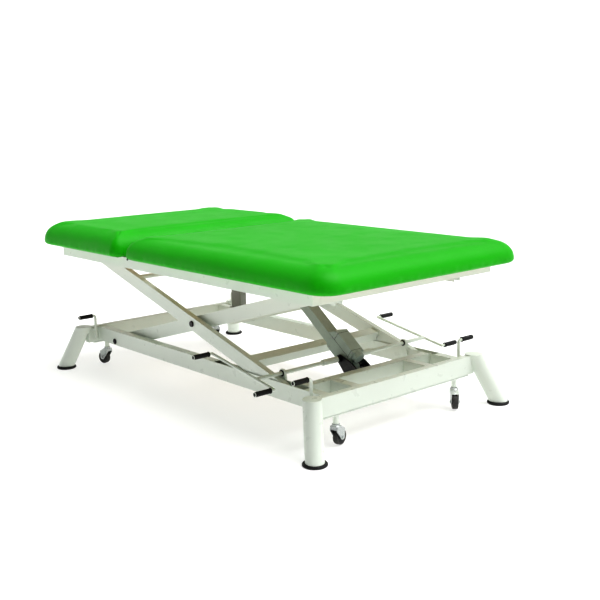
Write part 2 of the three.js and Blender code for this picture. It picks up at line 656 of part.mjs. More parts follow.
// ---- Castor levers, castor beams and castors ----
for (const [endName, end] of ENDS) {
  for (const [sideName, side] of SIDES) {
    const x = BASE_X + end * LEVER_X;
    const y = side * LEVER_Y;
    const path = [[x, y, LEVER_LOW_Z], [x, y, LEVER_TOP_Z - 8], [x, y + side * 8, LEVER_TOP_Z], [x, y + side * 22, LEVER_TOP_Z]];
    const rod = bentBar(ROD_RADIUS + 0.5, path);
    const grip = bar(
      GRIP_RADIUS, [x, y + side * 18, LEVER_TOP_Z], [x, y + side * 88, LEVER_TOP_Z], 16, GRIP_RADIUS * 0.96,
    );
    const pivot = bar(8, [x, y, LEVER_PIVOT_Z], [BASE_X + end * (END_INNER - GAP), y, LEVER_PIVOT_Z], 16);
    add(`castor_lever_${endName}_${sideName}`, joined([rod, grip, pivot]), white);
  }

  const middle = BASE_X + end * CASTOR_X;
  const beam = box(middle - 13, middle + 13, -418, 418, 126, 131);
  const stems = SIDES.map(([, side]) => bar(11, [middle, side * CASTOR_Y, 92], [middle, side * CASTOR_Y, 130], 16));
  add(`castor_beam_${endName}`, joined([beam, ...stems]), white);
}

// Direction in which each castor trails, in degrees from +X.
const TRAILS = { foot_near: 104, foot_far: -41, head_near: 194, head_far: 160 };
for (const [endName, end] of ENDS) {
  for (const [sideName, side] of SIDES) {
    const turn = THREE.MathUtils.degToRad(TRAILS[`${endName}_${sideName}`]);
    const stem = [BASE_X + end * CASTOR_X, side * CASTOR_Y, 0];
    const head = bar(15, [0, 0, 80], [0, 0, 91.7], 16);
    const bridge = plate([[-16, 70], [24, 69], [36, 69], [12, 84], [-13, 84]], -17, 17);
    const cheek = [[-13, 84], [-16, 66], [12, 30], [18, 26], [29, 26], [35, 34], [37, 67], [12, 84]];
    const cheeks = SIDES.map(([, k]) => sidePlate(k, cheek, 14, 17));
    const axle = crossBar(4, [CASTOR_TRAIL, WHEEL_Z], -17.5, 17.5, 16);
    add(`castor_fork_${endName}_${sideName}`, joined([head, bridge, ...cheeks, axle]), zinc, turn, stem);

    const r = WHEEL_RADIUS;
    const w = WHEEL_HALF_WIDTH;
    const profile = [[4.3, -w - 1], [9, -w - 1], [10, -w], [r - 3, -w], [r, -w + 3], [r, w - 3], [r - 3, w], [10, w]];
    const closed = [...profile, [9, w + 1], [4.3, w + 1], [4.3, -w - 1]].map(([a, b]) => new THREE.Vector2(a, b));
    const wheel = new THREE.LatheGeometry(closed, 24);
    wheel.translate(CASTOR_TRAIL, 0, WHEEL_Z);
    add(`castor_wheel_${endName}_${sideName}`, solid(wheel), rubber, turn, stem);
  }
}

export default couch;
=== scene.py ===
"""Examination couch: pads, grips, small parts, surfaces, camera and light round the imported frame."""

import math

import bpy
import numpy as np
from mathutils import Matrix, Vector


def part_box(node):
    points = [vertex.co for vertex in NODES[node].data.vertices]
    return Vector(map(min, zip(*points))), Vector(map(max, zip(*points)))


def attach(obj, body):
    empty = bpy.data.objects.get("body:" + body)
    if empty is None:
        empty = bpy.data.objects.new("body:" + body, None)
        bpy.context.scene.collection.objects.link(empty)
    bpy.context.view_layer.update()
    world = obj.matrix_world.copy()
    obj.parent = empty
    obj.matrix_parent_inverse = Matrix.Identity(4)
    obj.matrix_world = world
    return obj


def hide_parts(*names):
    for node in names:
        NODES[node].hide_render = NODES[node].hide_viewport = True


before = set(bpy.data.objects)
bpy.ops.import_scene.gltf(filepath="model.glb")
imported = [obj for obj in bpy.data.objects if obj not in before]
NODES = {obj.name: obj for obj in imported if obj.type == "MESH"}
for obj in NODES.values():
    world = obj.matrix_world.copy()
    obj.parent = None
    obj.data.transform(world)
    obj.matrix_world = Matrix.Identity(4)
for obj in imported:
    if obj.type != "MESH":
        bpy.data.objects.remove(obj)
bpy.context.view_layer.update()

MM = 0.001
# Lengths in mm are measured from the lift's own zero, which is this far from the box centre.
SHIFT = Vector((17.5, 0, 0))
SIDES = {"near": -1, "far": 1}
ENDS = {"foot": 1, "head": -1}

# Places on the base that several small pieces share, in mm.
BASE_X = 18
RAIL_INNER_Y = 351
RAIL_OUTER_Y = 391
TUBE_BOTTOM = 139
TUBE_TOP = 208
END_TUBE_INNER = 829.6


# ---- Meshes ----
def basis(direction):
    """Two directions square to the given one."""
    w = Vector(direction).normalized()
    helper = Vector((0, 0, 1)) if abs(w.z) < 0.9 else Vector((1, 0, 0))
    u = helper.cross(w).normalized()
    return u, w.cross(u), w


def lathe(a, b, profile, segments=32):
    """A turned shape from a towards b, in mm. The profile lists radius and distance from a."""
    start = Vector(a)
    u, v, w = basis(Vector(b) - start)
    verts = []
    faces = []
    rows = []
    for radius, along in profile:
        centre = start + w * along
        if radius < 1e-6:
            rows.append([len(verts)])
            verts.append(centre)
            continue
        rows.append(list(range(len(verts), len(verts) + segments)))
        for i in range(segments):
            t = 2 * math.pi * i / segments
            verts.append(centre + u * (radius * math.cos(t)) + v * (radius * math.sin(t)))
    for low, high in zip(rows, rows[1:]):
        for i in range(segments):
            j = (i + 1) % segments
            if len(low) == 1 and len(high) > 1:
                faces.append((low[0], high[j], high[i]))
            elif len(high) == 1 and len(low) > 1:
                faces.append((low[i], low[j], high[0]))
            elif len(low) > 1:
                faces.append((low[i], low[j], high[j], high[i]))
    return verts, faces


def sweep(points, radius, sides=8, closed=False, ripple=0.0, pitch=3.0):
    """A round bead along a line, in mm, with round ends and, for a weld, ripples along it."""
    path = [Vector(p) for p in points]
    count = len(path)
    verts = []
    faces = []
    run = 0.0
    up = None
    for k, p in enumerate(path):
        before = path[k - 1] if k or closed else p
        after = path[(k + 1) % count] if k < count - 1 or closed else p
        w = (after - before).normalized()
        if up is None:
            up = basis(w)[0]
        up = (up - w * up.dot(w)).normalized()
        v = w.cross(up)
        if k:
            run += (p - path[k - 1]).length
        r = radius * (1 + ripple * math.sin(2 * math.pi * run / pitch))
        if not closed and k in (0, count - 1):
            r *= 0.5
        for i in range(sides):
            t = 2 * math.pi * i / sides
            verts.append(p + up * (r * math.cos(t)) + v * (r * math.sin(t)))
    last = count if closed else count - 1
    for k in range(last):
        n = (k + 1) % count
        for i in range(sides):
            j = (i + 1) % sides
            faces.append((k * sides + i, k * sides + j, n * sides + j, n * sides + i))
    if not closed:
        faces.append(tuple(reversed(range(sides))))
        faces.append(tuple(range((count - 1) * sides, count * sides)))
    return verts, faces


def line(a, b, step=1.0):
    """Points from a to b, in mm."""
    start = Vector(a)
    end = Vector(b)
    count = max(2, round((end - start).length / step))
    return [start.lerp(end, i / count) for i in range(count + 1)]


def loop(corners, step=1.0):
    """Points round a closed line, in mm."""
    points = []
    for a, b in zip(corners, corners[1:] + corners[:1]):
        points += line(a, b, step)[:-1]
    return points


def placed(name, data):
    """An object for a mesh, light or camera, linked into the scene."""
    obj = bpy.data.objects.new(name, data)
    bpy.context.scene.collection.objects.link(obj)
    return obj


def piece(name, parts, material, body, sharp=38):
    """One object from several meshes in mm, with its material, riding on a body."""
    verts = []
    faces = []
    for part_verts, part_faces in parts:
        start = len(verts)
        verts += [(Vector(p) + SHIFT) * MM for p in part_verts]
        faces += [tuple(i + start for i in face) for face in part_faces]
    mesh = bpy.data.meshes.new(name)
    mesh.from_pydata([tuple(p) for p in verts], [], faces)
    mesh.shade_smooth()
    mesh.set_sharp_from_angle(angle=math.radians(sharp))
    mesh.materials.append(material)
    dense = mesh.attributes.new("dense", "FLOAT", "POINT")
    dense.data.foreach_set("value", [1.0] * len(verts))
    obj = placed(name, mesh)
    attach(obj, body)
    return obj


# ---- Materials ----
def preset(node, **values):
    """Sets a node's inputs by name, with _ for a space."""
    for key, value in values.items():
        node.inputs[key.replace("_", " ")].default_value = value


class Graph:
    """A material's nodes."""

    def __init__(self, name):
        self.material = bpy.data.materials.new(name)
        self.material.use_nodes = True
        self.tree = self.material.node_tree
        self.tree.nodes.clear()
        self.shader = self.node("ShaderNodeBsdfPrincipled")
        output = self.node("ShaderNodeOutputMaterial")
        self.tree.links.new(self.shader.outputs["BSDF"], output.inputs["Surface"])
        self.coords = self.node("ShaderNodeTexCoord").outputs["Object"]

    def node(self, kind, **settings):
        made = self.tree.nodes.new(kind)
        for key, value in settings.items():
            setattr(made, key, value)
        return made

    def put(self, socket, value):
        if isinstance(value, bpy.types.NodeSocket):
            self.tree.links.new(value, socket)
        else:
            socket.default_value = value

    def scaled(self, scale):
        mapping = self.node("ShaderNodeMapping")
        self.put(mapping.inputs["Vector"], self.coords)
        mapping.inputs["Scale"].default_value = scale
        return mapping.outputs["Vector"]

    def noise(self, scale, detail=2.0, rough=0.5, where=None, distortion=0.0):
        made = self.node("ShaderNodeTexNoise")
        self.put(made.inputs["Vector"], where or self.coords)
        preset(made, Scale=scale, Detail=detail, Roughness=rough, Distortion=distortion)
        return made.outputs["Fac"]

    def cells(self, scale, feature="F1", where=None, output="Distance"):
        made = self.node("ShaderNodeTexVoronoi", feature=feature)
        self.put(made.inputs["Vector"], where or self.coords)
        made.inputs["Scale"].default_value = scale
        return made.outputs[output]

    def math(self, operation, a, b=0.0, clamp=False):
        made = self.node("ShaderNodeMath", operation=operation, use_clamp=clamp)
        self.put(made.inputs[0], a)
        self.put(made.inputs[1], b)
        return made.outputs[0]

    def spread(self, value, low, high, to_low=0.0, to_high=1.0):
        made = self.node("ShaderNodeMapRange", interpolation_type="SMOOTHSTEP")
        self.put(made.inputs["Value"], value)
        preset(made, From_Min=low, From_Max=high, To_Min=to_low, To_Max=to_high)
        return made.outputs["Result"]

    def mix(self, share, a, b):
        made = self.node("ShaderNodeMix", data_type="RGBA")
        self.put(made.inputs["Factor"], share)
        self.put(made.inputs["A"], a)
        self.put(made.inputs["B"], b)
        return made.outputs["Result"]

    def bump(self, height, strength, distance, normal=None):
        made = self.node("ShaderNodeBump")
        self.put(made.inputs["Height"], height)
        preset(made, Strength=strength, Distance=distance)
        if normal is not None:
            self.put(made.inputs["Normal"], normal)
        return made.outputs["Normal"]

    def attribute(self, name):
        return self.node("ShaderNodeAttribute", attribute_name=name).outputs["Fac"]

    def edges(self, low=0.53, high=0.62):
        """Where an edge is rubbed: the bevels of the CAD nodes, and sharp rims of finely meshed pieces."""
        rim = self.spread(self.node("ShaderNodeNewGeometry").outputs["Pointiness"], low, high)
        rim = self.math("MULTIPLY", rim, self.attribute("dense"))
        return self.math("MAXIMUM", self.attribute("wear"), rim)

    def height(self):
        split = self.node("ShaderNodeSeparateXYZ")
        self.put(split.inputs[0], self.coords)
        return split.outputs["Z"]

    def finish(self, colour, roughness, normal, **constants):
        self.put(self.shader.inputs["Base Color"], colour)
        self.put(self.shader.inputs["Roughness"], roughness)
        self.put(self.shader.inputs["Normal"], normal)
        preset(self.shader, **constants)
        return self.material


def shade(colour, factor):
    return tuple(min(1.0, c * factor) for c in colour) + (1.0,)


def powder_coat(name, colour):
    """Baked powder paint on welded steel: orange peel, faint clouding, chipped edges, scuffs low down."""
    g = Graph(name)
    cloud = g.spread(g.noise(4.0, 3.0), 0.3, 0.7)
    tone = g.mix(cloud, shade(colour, 0.98), shade(colour, 1.02))
    streaks = g.spread(g.noise(38.0, 5.0, 0.7, g.scaled((0.25, 1.0, 1.0))), 0.64, 0.82, 0.0, 0.06)
    low = g.spread(g.height(), 0.02, 0.24, 1.0, 0.25)
    tone = g.mix(g.math("MULTIPLY", streaks, low), tone, shade(colour, 0.72))
    worn = g.math("MULTIPLY", g.attribute("wear"), g.spread(g.noise(90.0, 4.0), 0.5, 0.66), True)
    tone = g.mix(g.math("MULTIPLY", worn, 0.5), tone, shade((0.42, 0.43, 0.42), 1.0))
    peel = g.noise(620.0, 2.0, 0.55)
    ripple = g.noise(150.0, 1.0)
    rough = g.spread(g.noise(26.0, 4.0), 0.3, 0.7, 0.27, 0.4)
    normal = g.bump(ripple, 0.12, 0.0006)
    normal = g.bump(peel, 0.16, 0.0003, normal)
    return g.finish(tone, rough, normal, Specular_IOR_Level=0.5, Coat_Weight=0.12, Coat_Roughness=0.18)


def vinyl(name, colour):
    """Smooth upholstery leatherette: fine pebble grain with painted shade in its valleys, soft creases,
    slightly uneven gloss.
    """
    g = Graph(name)
    wander = g.node("ShaderNodeVectorMath", operation="ADD")
    noise = g.node("ShaderNodeTexNoise")
    g.put(noise.inputs["Vector"], g.coords)
    noise.inputs["Scale"].default_value = 300.0
    shift = g.node("ShaderNodeVectorMath", operation="SCALE")
    g.put(shift.inputs[0], noise.outputs["Color"])
    shift.inputs["Scale"].default_value = 0.0015
    g.put(wander.inputs[0], g.coords)
    g.put(wander.inputs[1], shift.outputs[0])
    pebble = g.cells(520.0, "DISTANCE_TO_EDGE", wander.outputs[0])
    valley = g.spread(pebble, 0.0, 0.16)
    pores = g.noise(1500.0, 2.0, 0.6)
    cloud = g.spread(g.noise(2.2, 3.0, 0.55), 0.3, 0.7)
    tone = g.mix(cloud, shade(colour, 0.97), shade(colour, 1.03))
    fine = g.spread(g.noise(45.0, 4.0, 0.6), 0.35, 0.7)
    tone = g.mix(g.math("MULTIPLY", fine, 0.15), tone, shade(colour, 1.12))
    # Painted shade: the pebble grain's valleys are darkened in the colour.
    tone = g.mix(g.spread(pebble, 0.0, 0.09, 0.35, 0.0), tone, shade(colour, 0.55))
    tone = g.mix(g.math("MULTIPLY", g.edges(0.51, 0.56), 0.12), tone, shade(colour, 1.2))
    rough = g.spread(g.noise(7.0, 4.0, 0.6), 0.3, 0.7, 0.44, 0.52)
    soft = g.noise(14.0, 2.0, 0.5)
    normal = g.bump(soft, 0.1, 0.004)
    normal = g.bump(valley, 0.3, 0.0004, normal)
    normal = g.bump(pores, 0.1, 0.0002, normal)
    return g.finish(tone, rough, normal, Specular_IOR_Level=0.24, Sheen_Weight=0.01, Sheen_Roughness=0.5)


def rubber(name, colour, gloss=0.55):
    """Moulded black rubber or plastic: fine pitted skin, dusty patches, scuffed edges."""
    g = Graph(name)
    dust = g.spread(g.noise(60.0, 5.0, 0.65), 0.5, 0.75)
    tone = g.mix(g.math("MULTIPLY", dust, 0.45), shade(colour, 1.0), shade(colour, 2.6))
    tone = g.mix(g.math("MULTIPLY", g.edges(), 0.4), tone, shade(colour, 3.5))
    rough = g.spread(g.noise(120.0, 3.0), 0.3, 0.7, gloss - 0.1, gloss + 0.14)
    pits = g.noise(1100.0, 3.0, 0.65)
    normal = g.bump(pits, 0.3, 0.0003)
    return g.finish(tone, rough, normal, Specular_IOR_Level=0.5)


def metal(name, colour, low, high, spangle=0.0, grain=(1.0, 1.0, 1.0)):
    """Plated steel: crystal pattern for zinc, drawn lines for rod, dulled patches."""
    g = Graph(name)
    where = g.scaled(grain)
    lines = g.noise(240.0, 5.0, 0.7, where)
    tone = g.mix(g.spread(lines, 0.35, 0.7), shade(colour, 0.82), shade(colour, 1.08))
    if spangle:
        flakes = g.node("ShaderNodeSeparateColor")
        g.put(flakes.inputs[0], g.cells(170.0, "F1", None, "Color"))
        tone = g.mix(g.math("MULTIPLY", flakes.outputs[0], spangle), tone, shade(colour, 0.6))
    tone = g.mix(g.spread(g.noise(50.0, 4.0), 0.56, 0.78, 0.0, 0.4), tone, shade(colour, 0.55))
    rough = g.spread(g.noise(80.0, 4.0), 0.3, 0.7, low, high)
    normal = g.bump(lines, 0.12, 0.0002)
    return g.finish(tone, rough, normal, Metallic=1.0)


def cast(name, colour):
    """Grey moulded motor housing: fine spark-eroded texture and rubbed edges."""
    g = Graph(name)
    cloud = g.spread(g.noise(12.0, 4.0), 0.3, 0.7)
    tone = g.mix(cloud, shade(colour, 0.9), shade(colour, 1.06))
    tone = g.mix(g.math("MULTIPLY", g.edges(), 0.45), tone, shade(colour, 1.5))
    grime = g.spread(g.noise(70.0, 5.0, 0.7), 0.55, 0.78, 0.0, 0.35)
    tone = g.mix(grime, tone, shade(colour, 0.6))
    rough = g.spread(g.noise(200.0, 3.0), 0.3, 0.7, 0.38, 0.55)
    normal = g.bump(g.noise(900.0, 3.0, 0.6), 0.25, 0.0003)
    return g.finish(tone, rough, normal, Specular_IOR_Level=0.5)


def plywood(name, colour):
    """Birch plywood: long grain on the faces, thin layers on the cut edges."""
    g = Graph(name)
    grain = g.noise(60.0, 6.0, 0.65, g.scaled((0.06, 1.0, 1.0)), 1.2)
    tone = g.mix(g.spread(grain, 0.3, 0.7), shade(colour, 0.78), shade(colour, 1.12))
    split = g.node("ShaderNodeSeparateXYZ")
    g.put(split.inputs[0], g.node("ShaderNodeNewGeometry").outputs["Normal"])
    side = g.spread(g.math("ABSOLUTE", split.outputs["Z"]), 0.3, 0.7, 1.0, 0.0)
    layers = g.math("SINE", g.math("MULTIPLY", g.height(), 2 * math.pi / 0.0028))
    layers = g.math("MULTIPLY", g.spread(layers, -0.4, 0.4), side)
    tone = g.mix(g.math("MULTIPLY", layers, 0.55), tone, shade(colour, 0.5))
    rough = g.spread(grain, 0.3, 0.7, 0.6, 0.8)
    normal = g.bump(grain, 0.2, 0.0004)
    return g.finish(tone, rough, normal, Specular_IOR_Level=0.35)


WHITE = powder_coat("white_powder_coat", (0.73, 0.785, 0.71))
VINYL = vinyl("green_leatherette", (0.012, 0.42, 0.001))
GRIP = rubber("black_grip_rubber", (0.005, 0.005, 0.0055), 0.6)
PLASTIC = rubber("black_plastic", (0.006, 0.006, 0.0065), 0.42)
BLACK = rubber("black_enamel", (0.006, 0.006, 0.006), 0.36)
TYRE = rubber("grey_tyre_rubber", (0.05, 0.05, 0.048), 0.66)
CORE = rubber("wheel_core_plastic", (0.02, 0.021, 0.02), 0.45)
HOUSING = cast("grey_motor_housing", (0.42, 0.5, 0.45))
BOX = cast("control_unit_plastic", (0.25, 0.26, 0.22))
STEEL = metal("bright_rod_steel", (0.62, 0.64, 0.64), 0.16, 0.3, 0.0, (1.0, 0.1, 1.0))
ZINC = metal("zinc_plate", (0.6, 0.63, 0.63), 0.26, 0.42, 0.3)
PLY = plywood("birch_plywood", (0.56, 0.4, 0.22))

BY_SLOT = {
    "white_paint": WHITE,
    "green_vinyl": VINYL,
    "black_rubber": GRIP,
    "black_plastic": PLASTIC,
    "grey_housing": HOUSING,
    "black_paint": BLACK,
    "bright_steel": STEEL,
    "zinc": ZINC,
    "plywood": PLY,
    "castor_tyre": TYRE,
}


# ---- Edges of the carried-over CAD nodes ----
# A face whose area over its perimeter is below this, in metres, is a bevel.
THIN = 0.0004
MERGE = 0.00002
FACET_CORNER = math.radians(30)
SHADED_CORNER = math.radians(42)
BEVELLED_CORNER = math.radians(40)
FLAT = math.radians(0.4)


def mark_wear(nodes, wire, geometry):
    """Stores 1 on the thin faces that a bevel leaves, found by their area over their perimeter."""
    ends = nodes.new("GeometryNodeInputMeshEdgeVertices")
    length = nodes.new("ShaderNodeVectorMath")
    length.operation = "DISTANCE"
    wire(ends.outputs["Position 1"], length.inputs[0])
    wire(ends.outputs["Position 2"], length.inputs[1])
    mean = length.outputs["Value"]
    for domain in ("EDGE", "FACE"):
        moved = nodes.new("GeometryNodeFieldOnDomain")
        moved.domain = domain
        wire(mean, moved.inputs[0])
        mean = moved.outputs[0]
    around = nodes.new("ShaderNodeMath")
    around.operation = "MULTIPLY"
    wire(mean, around.inputs[0])
    wire(nodes.new("GeometryNodeInputMeshFaceNeighbors").outputs["Vertex Count"], around.inputs[1])
    width = nodes.new("ShaderNodeMath")
    width.operation = "DIVIDE"
    wire(nodes.new("GeometryNodeInputMeshFaceArea").outputs[0], width.inputs[0])
    wire(around.outputs[0], width.inputs[1])
    thin = nodes.new("ShaderNodeMath")
    thin.operation = "LESS_THAN"
    thin.inputs[1].default_value = THIN
    wire(width.outputs[0], thin.inputs[0])
    store = nodes.new("GeometryNodeStoreNamedAttribute")
    store.data_type = "FLOAT"
    store.domain = "FACE"
    store.inputs["Name"].default_value = "wear"
    wire(geometry, store.inputs["Geometry"])
    wire(thin.outputs[0], store.inputs["Value"])
    return store.outputs["Geometry"]


def facet_group(name, clean, angle):
    """Geometry nodes that shade a mesh smooth except at corners, and either clean it or mark its wear."""
    group = bpy.data.node_groups.new(name, "GeometryNodeTree")
    group.interface.new_socket("Geometry", in_out="INPUT", socket_type="NodeSocketGeometry")
    group.interface.new_socket("Geometry", in_out="OUTPUT", socket_type="NodeSocketGeometry")
    nodes = group.nodes
    wire = group.links.new
    current = nodes.new("NodeGroupInput").outputs[0]
    if clean:
        drop = nodes.new("GeometryNodeRemoveAttribute")
        drop.inputs["Name"].default_value = "custom_normal"
        wire(current, drop.inputs["Geometry"])
        merge = nodes.new("GeometryNodeMergeByDistance")
        merge.inputs["Distance"].default_value = MERGE
        wire(drop.outputs["Geometry"], merge.inputs["Geometry"])
        current = merge.outputs["Geometry"]
    faces = nodes.new("GeometryNodeSetShadeSmooth")
    wire(current, faces.inputs["Geometry"])
    corner = nodes.new("GeometryNodeInputMeshEdgeAngle")
    compare = nodes.new("FunctionNodeCompare")
    compare.operation = "GREATER_THAN"
    compare.inputs[1].default_value = angle
    wire(corner.outputs["Unsigned Angle"], compare.inputs[0])
    sharp = nodes.new("GeometryNodeSetShadeSmooth")
    sharp.domain = "EDGE"
    sharp.inputs["Shade Smooth"].default_value = False
    wire(faces.outputs["Geometry"], sharp.inputs["Geometry"])
    wire(compare.outputs["Result"], sharp.inputs["Selection"])
    current = sharp.outputs["Geometry"]
    if not clean:
        current = mark_wear(nodes, wire, current)
    wire(current, nodes.new("NodeGroupOutput").inputs[0])
    return group


CLEAN = facet_group("clean_facets", True, FACET_CORNER)
SMOOTH = facet_group("smooth_by_corner", False, SHADED_CORNER)


def soften(obj, width, segments=2):
    """Rounds a CAD node's corners with modifiers. Its own mesh stays as it is."""
    obj.modifiers.new("clean", "NODES").node_group = CLEAN
    flat = obj.modifiers.new("flat_faces", "DECIMATE")
    flat.decimate_type = "DISSOLVE"
    flat.angle_limit = FLAT
    bevel = obj.modifiers.new("round_corners", "BEVEL")
    bevel.width = width * MM
    bevel.segments = segments
    bevel.limit_method = "ANGLE"
    bevel.angle_limit = BEVELLED_CORNER
    obj.modifiers.new("smooth", "NODES").node_group = SMOOTH
    weighted = obj.modifiers.new("flat_shading", "WEIGHTED_NORMAL")
    weighted.keep_sharp = True


TUBES = (
    "base_rail", "base_end", "base_inner", "frame_side", "frame_end", "frame_cross", "arm_", "roller_track",
)
for node_name, node in NODES.items():
    for material_slot in node.material_slots:
        finish = BY_SLOT[material_slot.material.name.split(".")[0]]
        material_slot.link = "OBJECT"
        material_slot.material = finish
    if node_name.startswith("board"):
        soften(node, 0.6, 1)
    elif node_name.startswith(TUBES):
        soften(node, 1.4, 3)
    else:
        soften(node, 0.7, 2)


# ---- Upholstered pads, in metres in the shared frame ----
PAD_X = {"head": (-1.0635, -0.307), "body": (-0.286, 1.0655)}
PAD_BODY = {"head": "backrest", "body": "top"}
PAD_Y = 0.556
PAD_LOW = 0.6176
PAD_WIDEST = 0.64
PAD_HIGH = {"head": 0.722, "body": 0.711}
PLAN_RADIUS = 0.1
SPLIT_RADIUS = 0.052
LEAST_RADIUS = 0.01
# Corners in order: head near, foot near, foot far, head far.
PAD_RADII = {
    "head": (PLAN_RADIUS, SPLIT_RADIUS, SPLIT_RADIUS, PLAN_RADIUS),
    "body": (PLAN_RADIUS, PLAN_RADIUS, PLAN_RADIUS, PLAN_RADIUS),
}
# How far the cover leans in at its top, at its lower edge and round the board's recess.
TOP_INSET = 0.088
LOW_INSET = 0.03
RECESS = 0.034
RECESS_TOP = 0.6316
PAD_STEP = 0.015
CORNER_STEPS = 5
LOW_ROLL_STEPS = 6
TOP_ROLL_STEPS = 13
# Cloth may move a point no farther than this, and less sideways than up.
CAP = 0.004
CLOTH_FRAMES = 20
SPREAD = (0.35, 0.35, 1.0)
# Cloth holds the points up to this far above the lower edge, and those of the recess within a touch.
HELD_RISE = 0.012
TOUCH = 0.0005


def skeleton(x0, x1):
    """For each side of a pad, its points: the side's number, the outward direction, the share along it."""
    spans = (x1 - x0 - 2 * PLAN_RADIUS, 2 * (PAD_Y - PLAN_RADIUS))
    sides = []
    for k in range(4):
        facing = math.radians(-90 + 90 * k)
        count = max(4, round(spans[k % 2] / PAD_STEP))
        points = []
        for i in range(CORNER_STEPS):
            points.append((k, facing - math.radians(45) * (1 - i / CORNER_STEPS), 0.0))
        for i in range(count):
            points.append((k, facing, i / count))
        for i in range(CORNER_STEPS):
            points.append((k, facing + math.radians(45) * i / CORNER_STEPS, 1.0))
        sides.append(points)
    return sides


def ring_point(x0, x1, radii, inset, side, facing, share):
    """A point of the pad's outline moved inwards, for corners that have their own radii."""
    outline = ((x0, -PAD_Y, 1, 1), (x1, -PAD_Y, -1, 1), (x1, PAD_Y, -1, -1), (x0, PAD_Y, 1, -1))
    ends = []
    for corner in (side, (side + 1) % 4):
        x, y, inward_x, inward_y = outline[corner]
        radius = max(radii[corner] - inset, LEAST_RADIUS)
        reach = inset + radius
        ends.append(Vector((
            x + inward_x * reach + radius * math.cos(facing),
            y + inward_y * reach + radius * math.sin(facing),
        )))
    return ends[0].lerp(ends[1], share)


def section(high):
    """Insets and heights from the recess's ceiling, round the bottom roll and up over the top roll."""
    rows = [(RECESS, RECESS_TOP), (RECESS, PAD_LOW + 0.006)]
    for i in range(LOW_ROLL_STEPS + 1):
        t = math.radians(90) * i / LOW_ROLL_STEPS
        rows.append((LOW_INSET * (1 - math.sin(t)), PAD_WIDEST - (PAD_WIDEST - PAD_LOW) * math.cos(t)))
    for i in range(1, TOP_ROLL_STEPS + 1):
        t = math.radians(90) * i / TOP_ROLL_STEPS
        rows.append((TOP_INSET * (1 - math.cos(t)), PAD_WIDEST + (high - PAD_WIDEST) * math.sin(t)))
    return rows


def coons(sides, flat):
    """A grid of points inside a closed ring of four sides. Its outermost points are the ring's."""
    nx = len(sides[0])
    ny = len(sides[1])
    low = sides[0] + [sides[1][0]]
    right = sides[1] + [sides[2][0]]
    high = list(reversed(sides[2] + [sides[3][0]]))
    left = list(reversed(sides[3] + [sides[0][0]]))
    grid = []
    for j in range(ny + 1):
        v = j / ny
        row = []
        for i in range(nx + 1):
            u = i / nx
            p = low[i] * (1 - v) + high[i] * v + left[j] * (1 - u) + right[j] * u
            low_corners = low[0] * (1 - u) * (1 - v) + low[nx] * u * (1 - v)
            p = p - (low_corners + high[0] * (1 - u) * v + high[nx] * u * v)
            row.append((p.x, p.y, flat))
        grid.append(row)
    return grid


def pad_mesh(x0, x1, high, radii):
    """A closed pad: rows round its section, a grid for its top and one for the recess's ceiling."""
    sides = skeleton(x0, x1)
    ring = [point for side in sides for point in side]
    count = len(ring)
    verts = []
    faces = []
    rows = section(high)
    for inset, z in rows:
        for side, facing, share in ring:
            point = ring_point(x0, x1, radii, inset, side, facing, share)
            verts.append((point.x, point.y, z))
    for r in range(len(rows) - 1):
        for i in range(count):
            j = (i + 1) % count
            faces.append((r * count + i, r * count + j, (r + 1) * count + j, (r + 1) * count + i))
    starts = np.cumsum([0] + [len(side) for side in sides])
    for row_index, upward in ((len(rows) - 1, True), (0, False)):
        base = row_index * count
        four = [[Vector(verts[base + i][:2]) for i in range(starts[k], starts[k + 1])] for k in range(4)]
        grid = coons(four, verts[base][2])
        ny = len(grid) - 1
        nx = len(grid[0]) - 1
        index = {}
        for j in range(ny + 1):
            for i in range(nx + 1):
                if j == 0:
                    index[i, j] = base + i
                elif i == nx:
                    index[i, j] = base + starts[1] + j
                elif j == ny:
                    index[i, j] = base + starts[2] + nx - i
                elif i == 0:
                    index[i, j] = base + starts[3] + ny - j
                else:
                    index[i, j] = len(verts)
                    verts.append(grid[j][i])
        for j in range(ny):
            for i in range(nx):
                quad = (index[i, j], index[i + 1, j], index[i + 1, j + 1], index[i, j + 1])
                faces.append(quad if upward else tuple(reversed(quad)))
    return verts, faces


def read_points(mesh):
    co = np.zeros(len(mesh.vertices) * 3)
    mesh.vertices.foreach_get("co", co)
    return co.reshape(-1, 3)


def write_points(mesh, co):
    mesh.vertices.foreach_set("co", co.reshape(-1))
    mesh.update()


def inflate(obj):
    """Blows the cover up a little with Cloth, held along its lower edge, and caps how far a point moves."""
    rest = read_points(obj.data)
    held = obj.vertex_groups.new(name="held")
    low = [i for i, p in enumerate(rest) if p[2] < PAD_LOW + HELD_RISE or inside_recess(p, rest)]
    held.add(low, 1.0, "REPLACE")
    cloth = obj.modifiers.new("inflate", "CLOTH")
    cloth.settings.quality = 5
    cloth.settings.mass = 0.4
    cloth.settings.tension_stiffness = 25
    cloth.settings.compression_stiffness = 25
    cloth.settings.bending_stiffness = 2.0
    cloth.settings.use_pressure = True
    cloth.settings.uniform_pressure_force = 4.0
    cloth.settings.vertex_group_mass = "held"
    cloth.settings.effector_weights.gravity = 0
    cloth.collision_settings.use_collision = False
    scene = bpy.context.scene
    cloth.point_cache.frame_start = 1
    cloth.point_cache.frame_end = CLOTH_FRAMES
    for step in range(1, CLOTH_FRAMES + 1):
        scene.frame_set(step)
    posed = obj.evaluated_get(bpy.context.evaluated_depsgraph_get())
    moved = (read_points(posed.data) - rest) * np.array(SPREAD)
    length = np.linalg.norm(moved, axis=1)
    scale = np.where(length > 1e-9, CAP * np.tanh(length / CAP) / np.maximum(length, 1e-9), 0.0)
    obj.modifiers.remove(cloth)
    scene.frame_set(1)
    write_points(obj.data, rest + moved * scale[:, None])


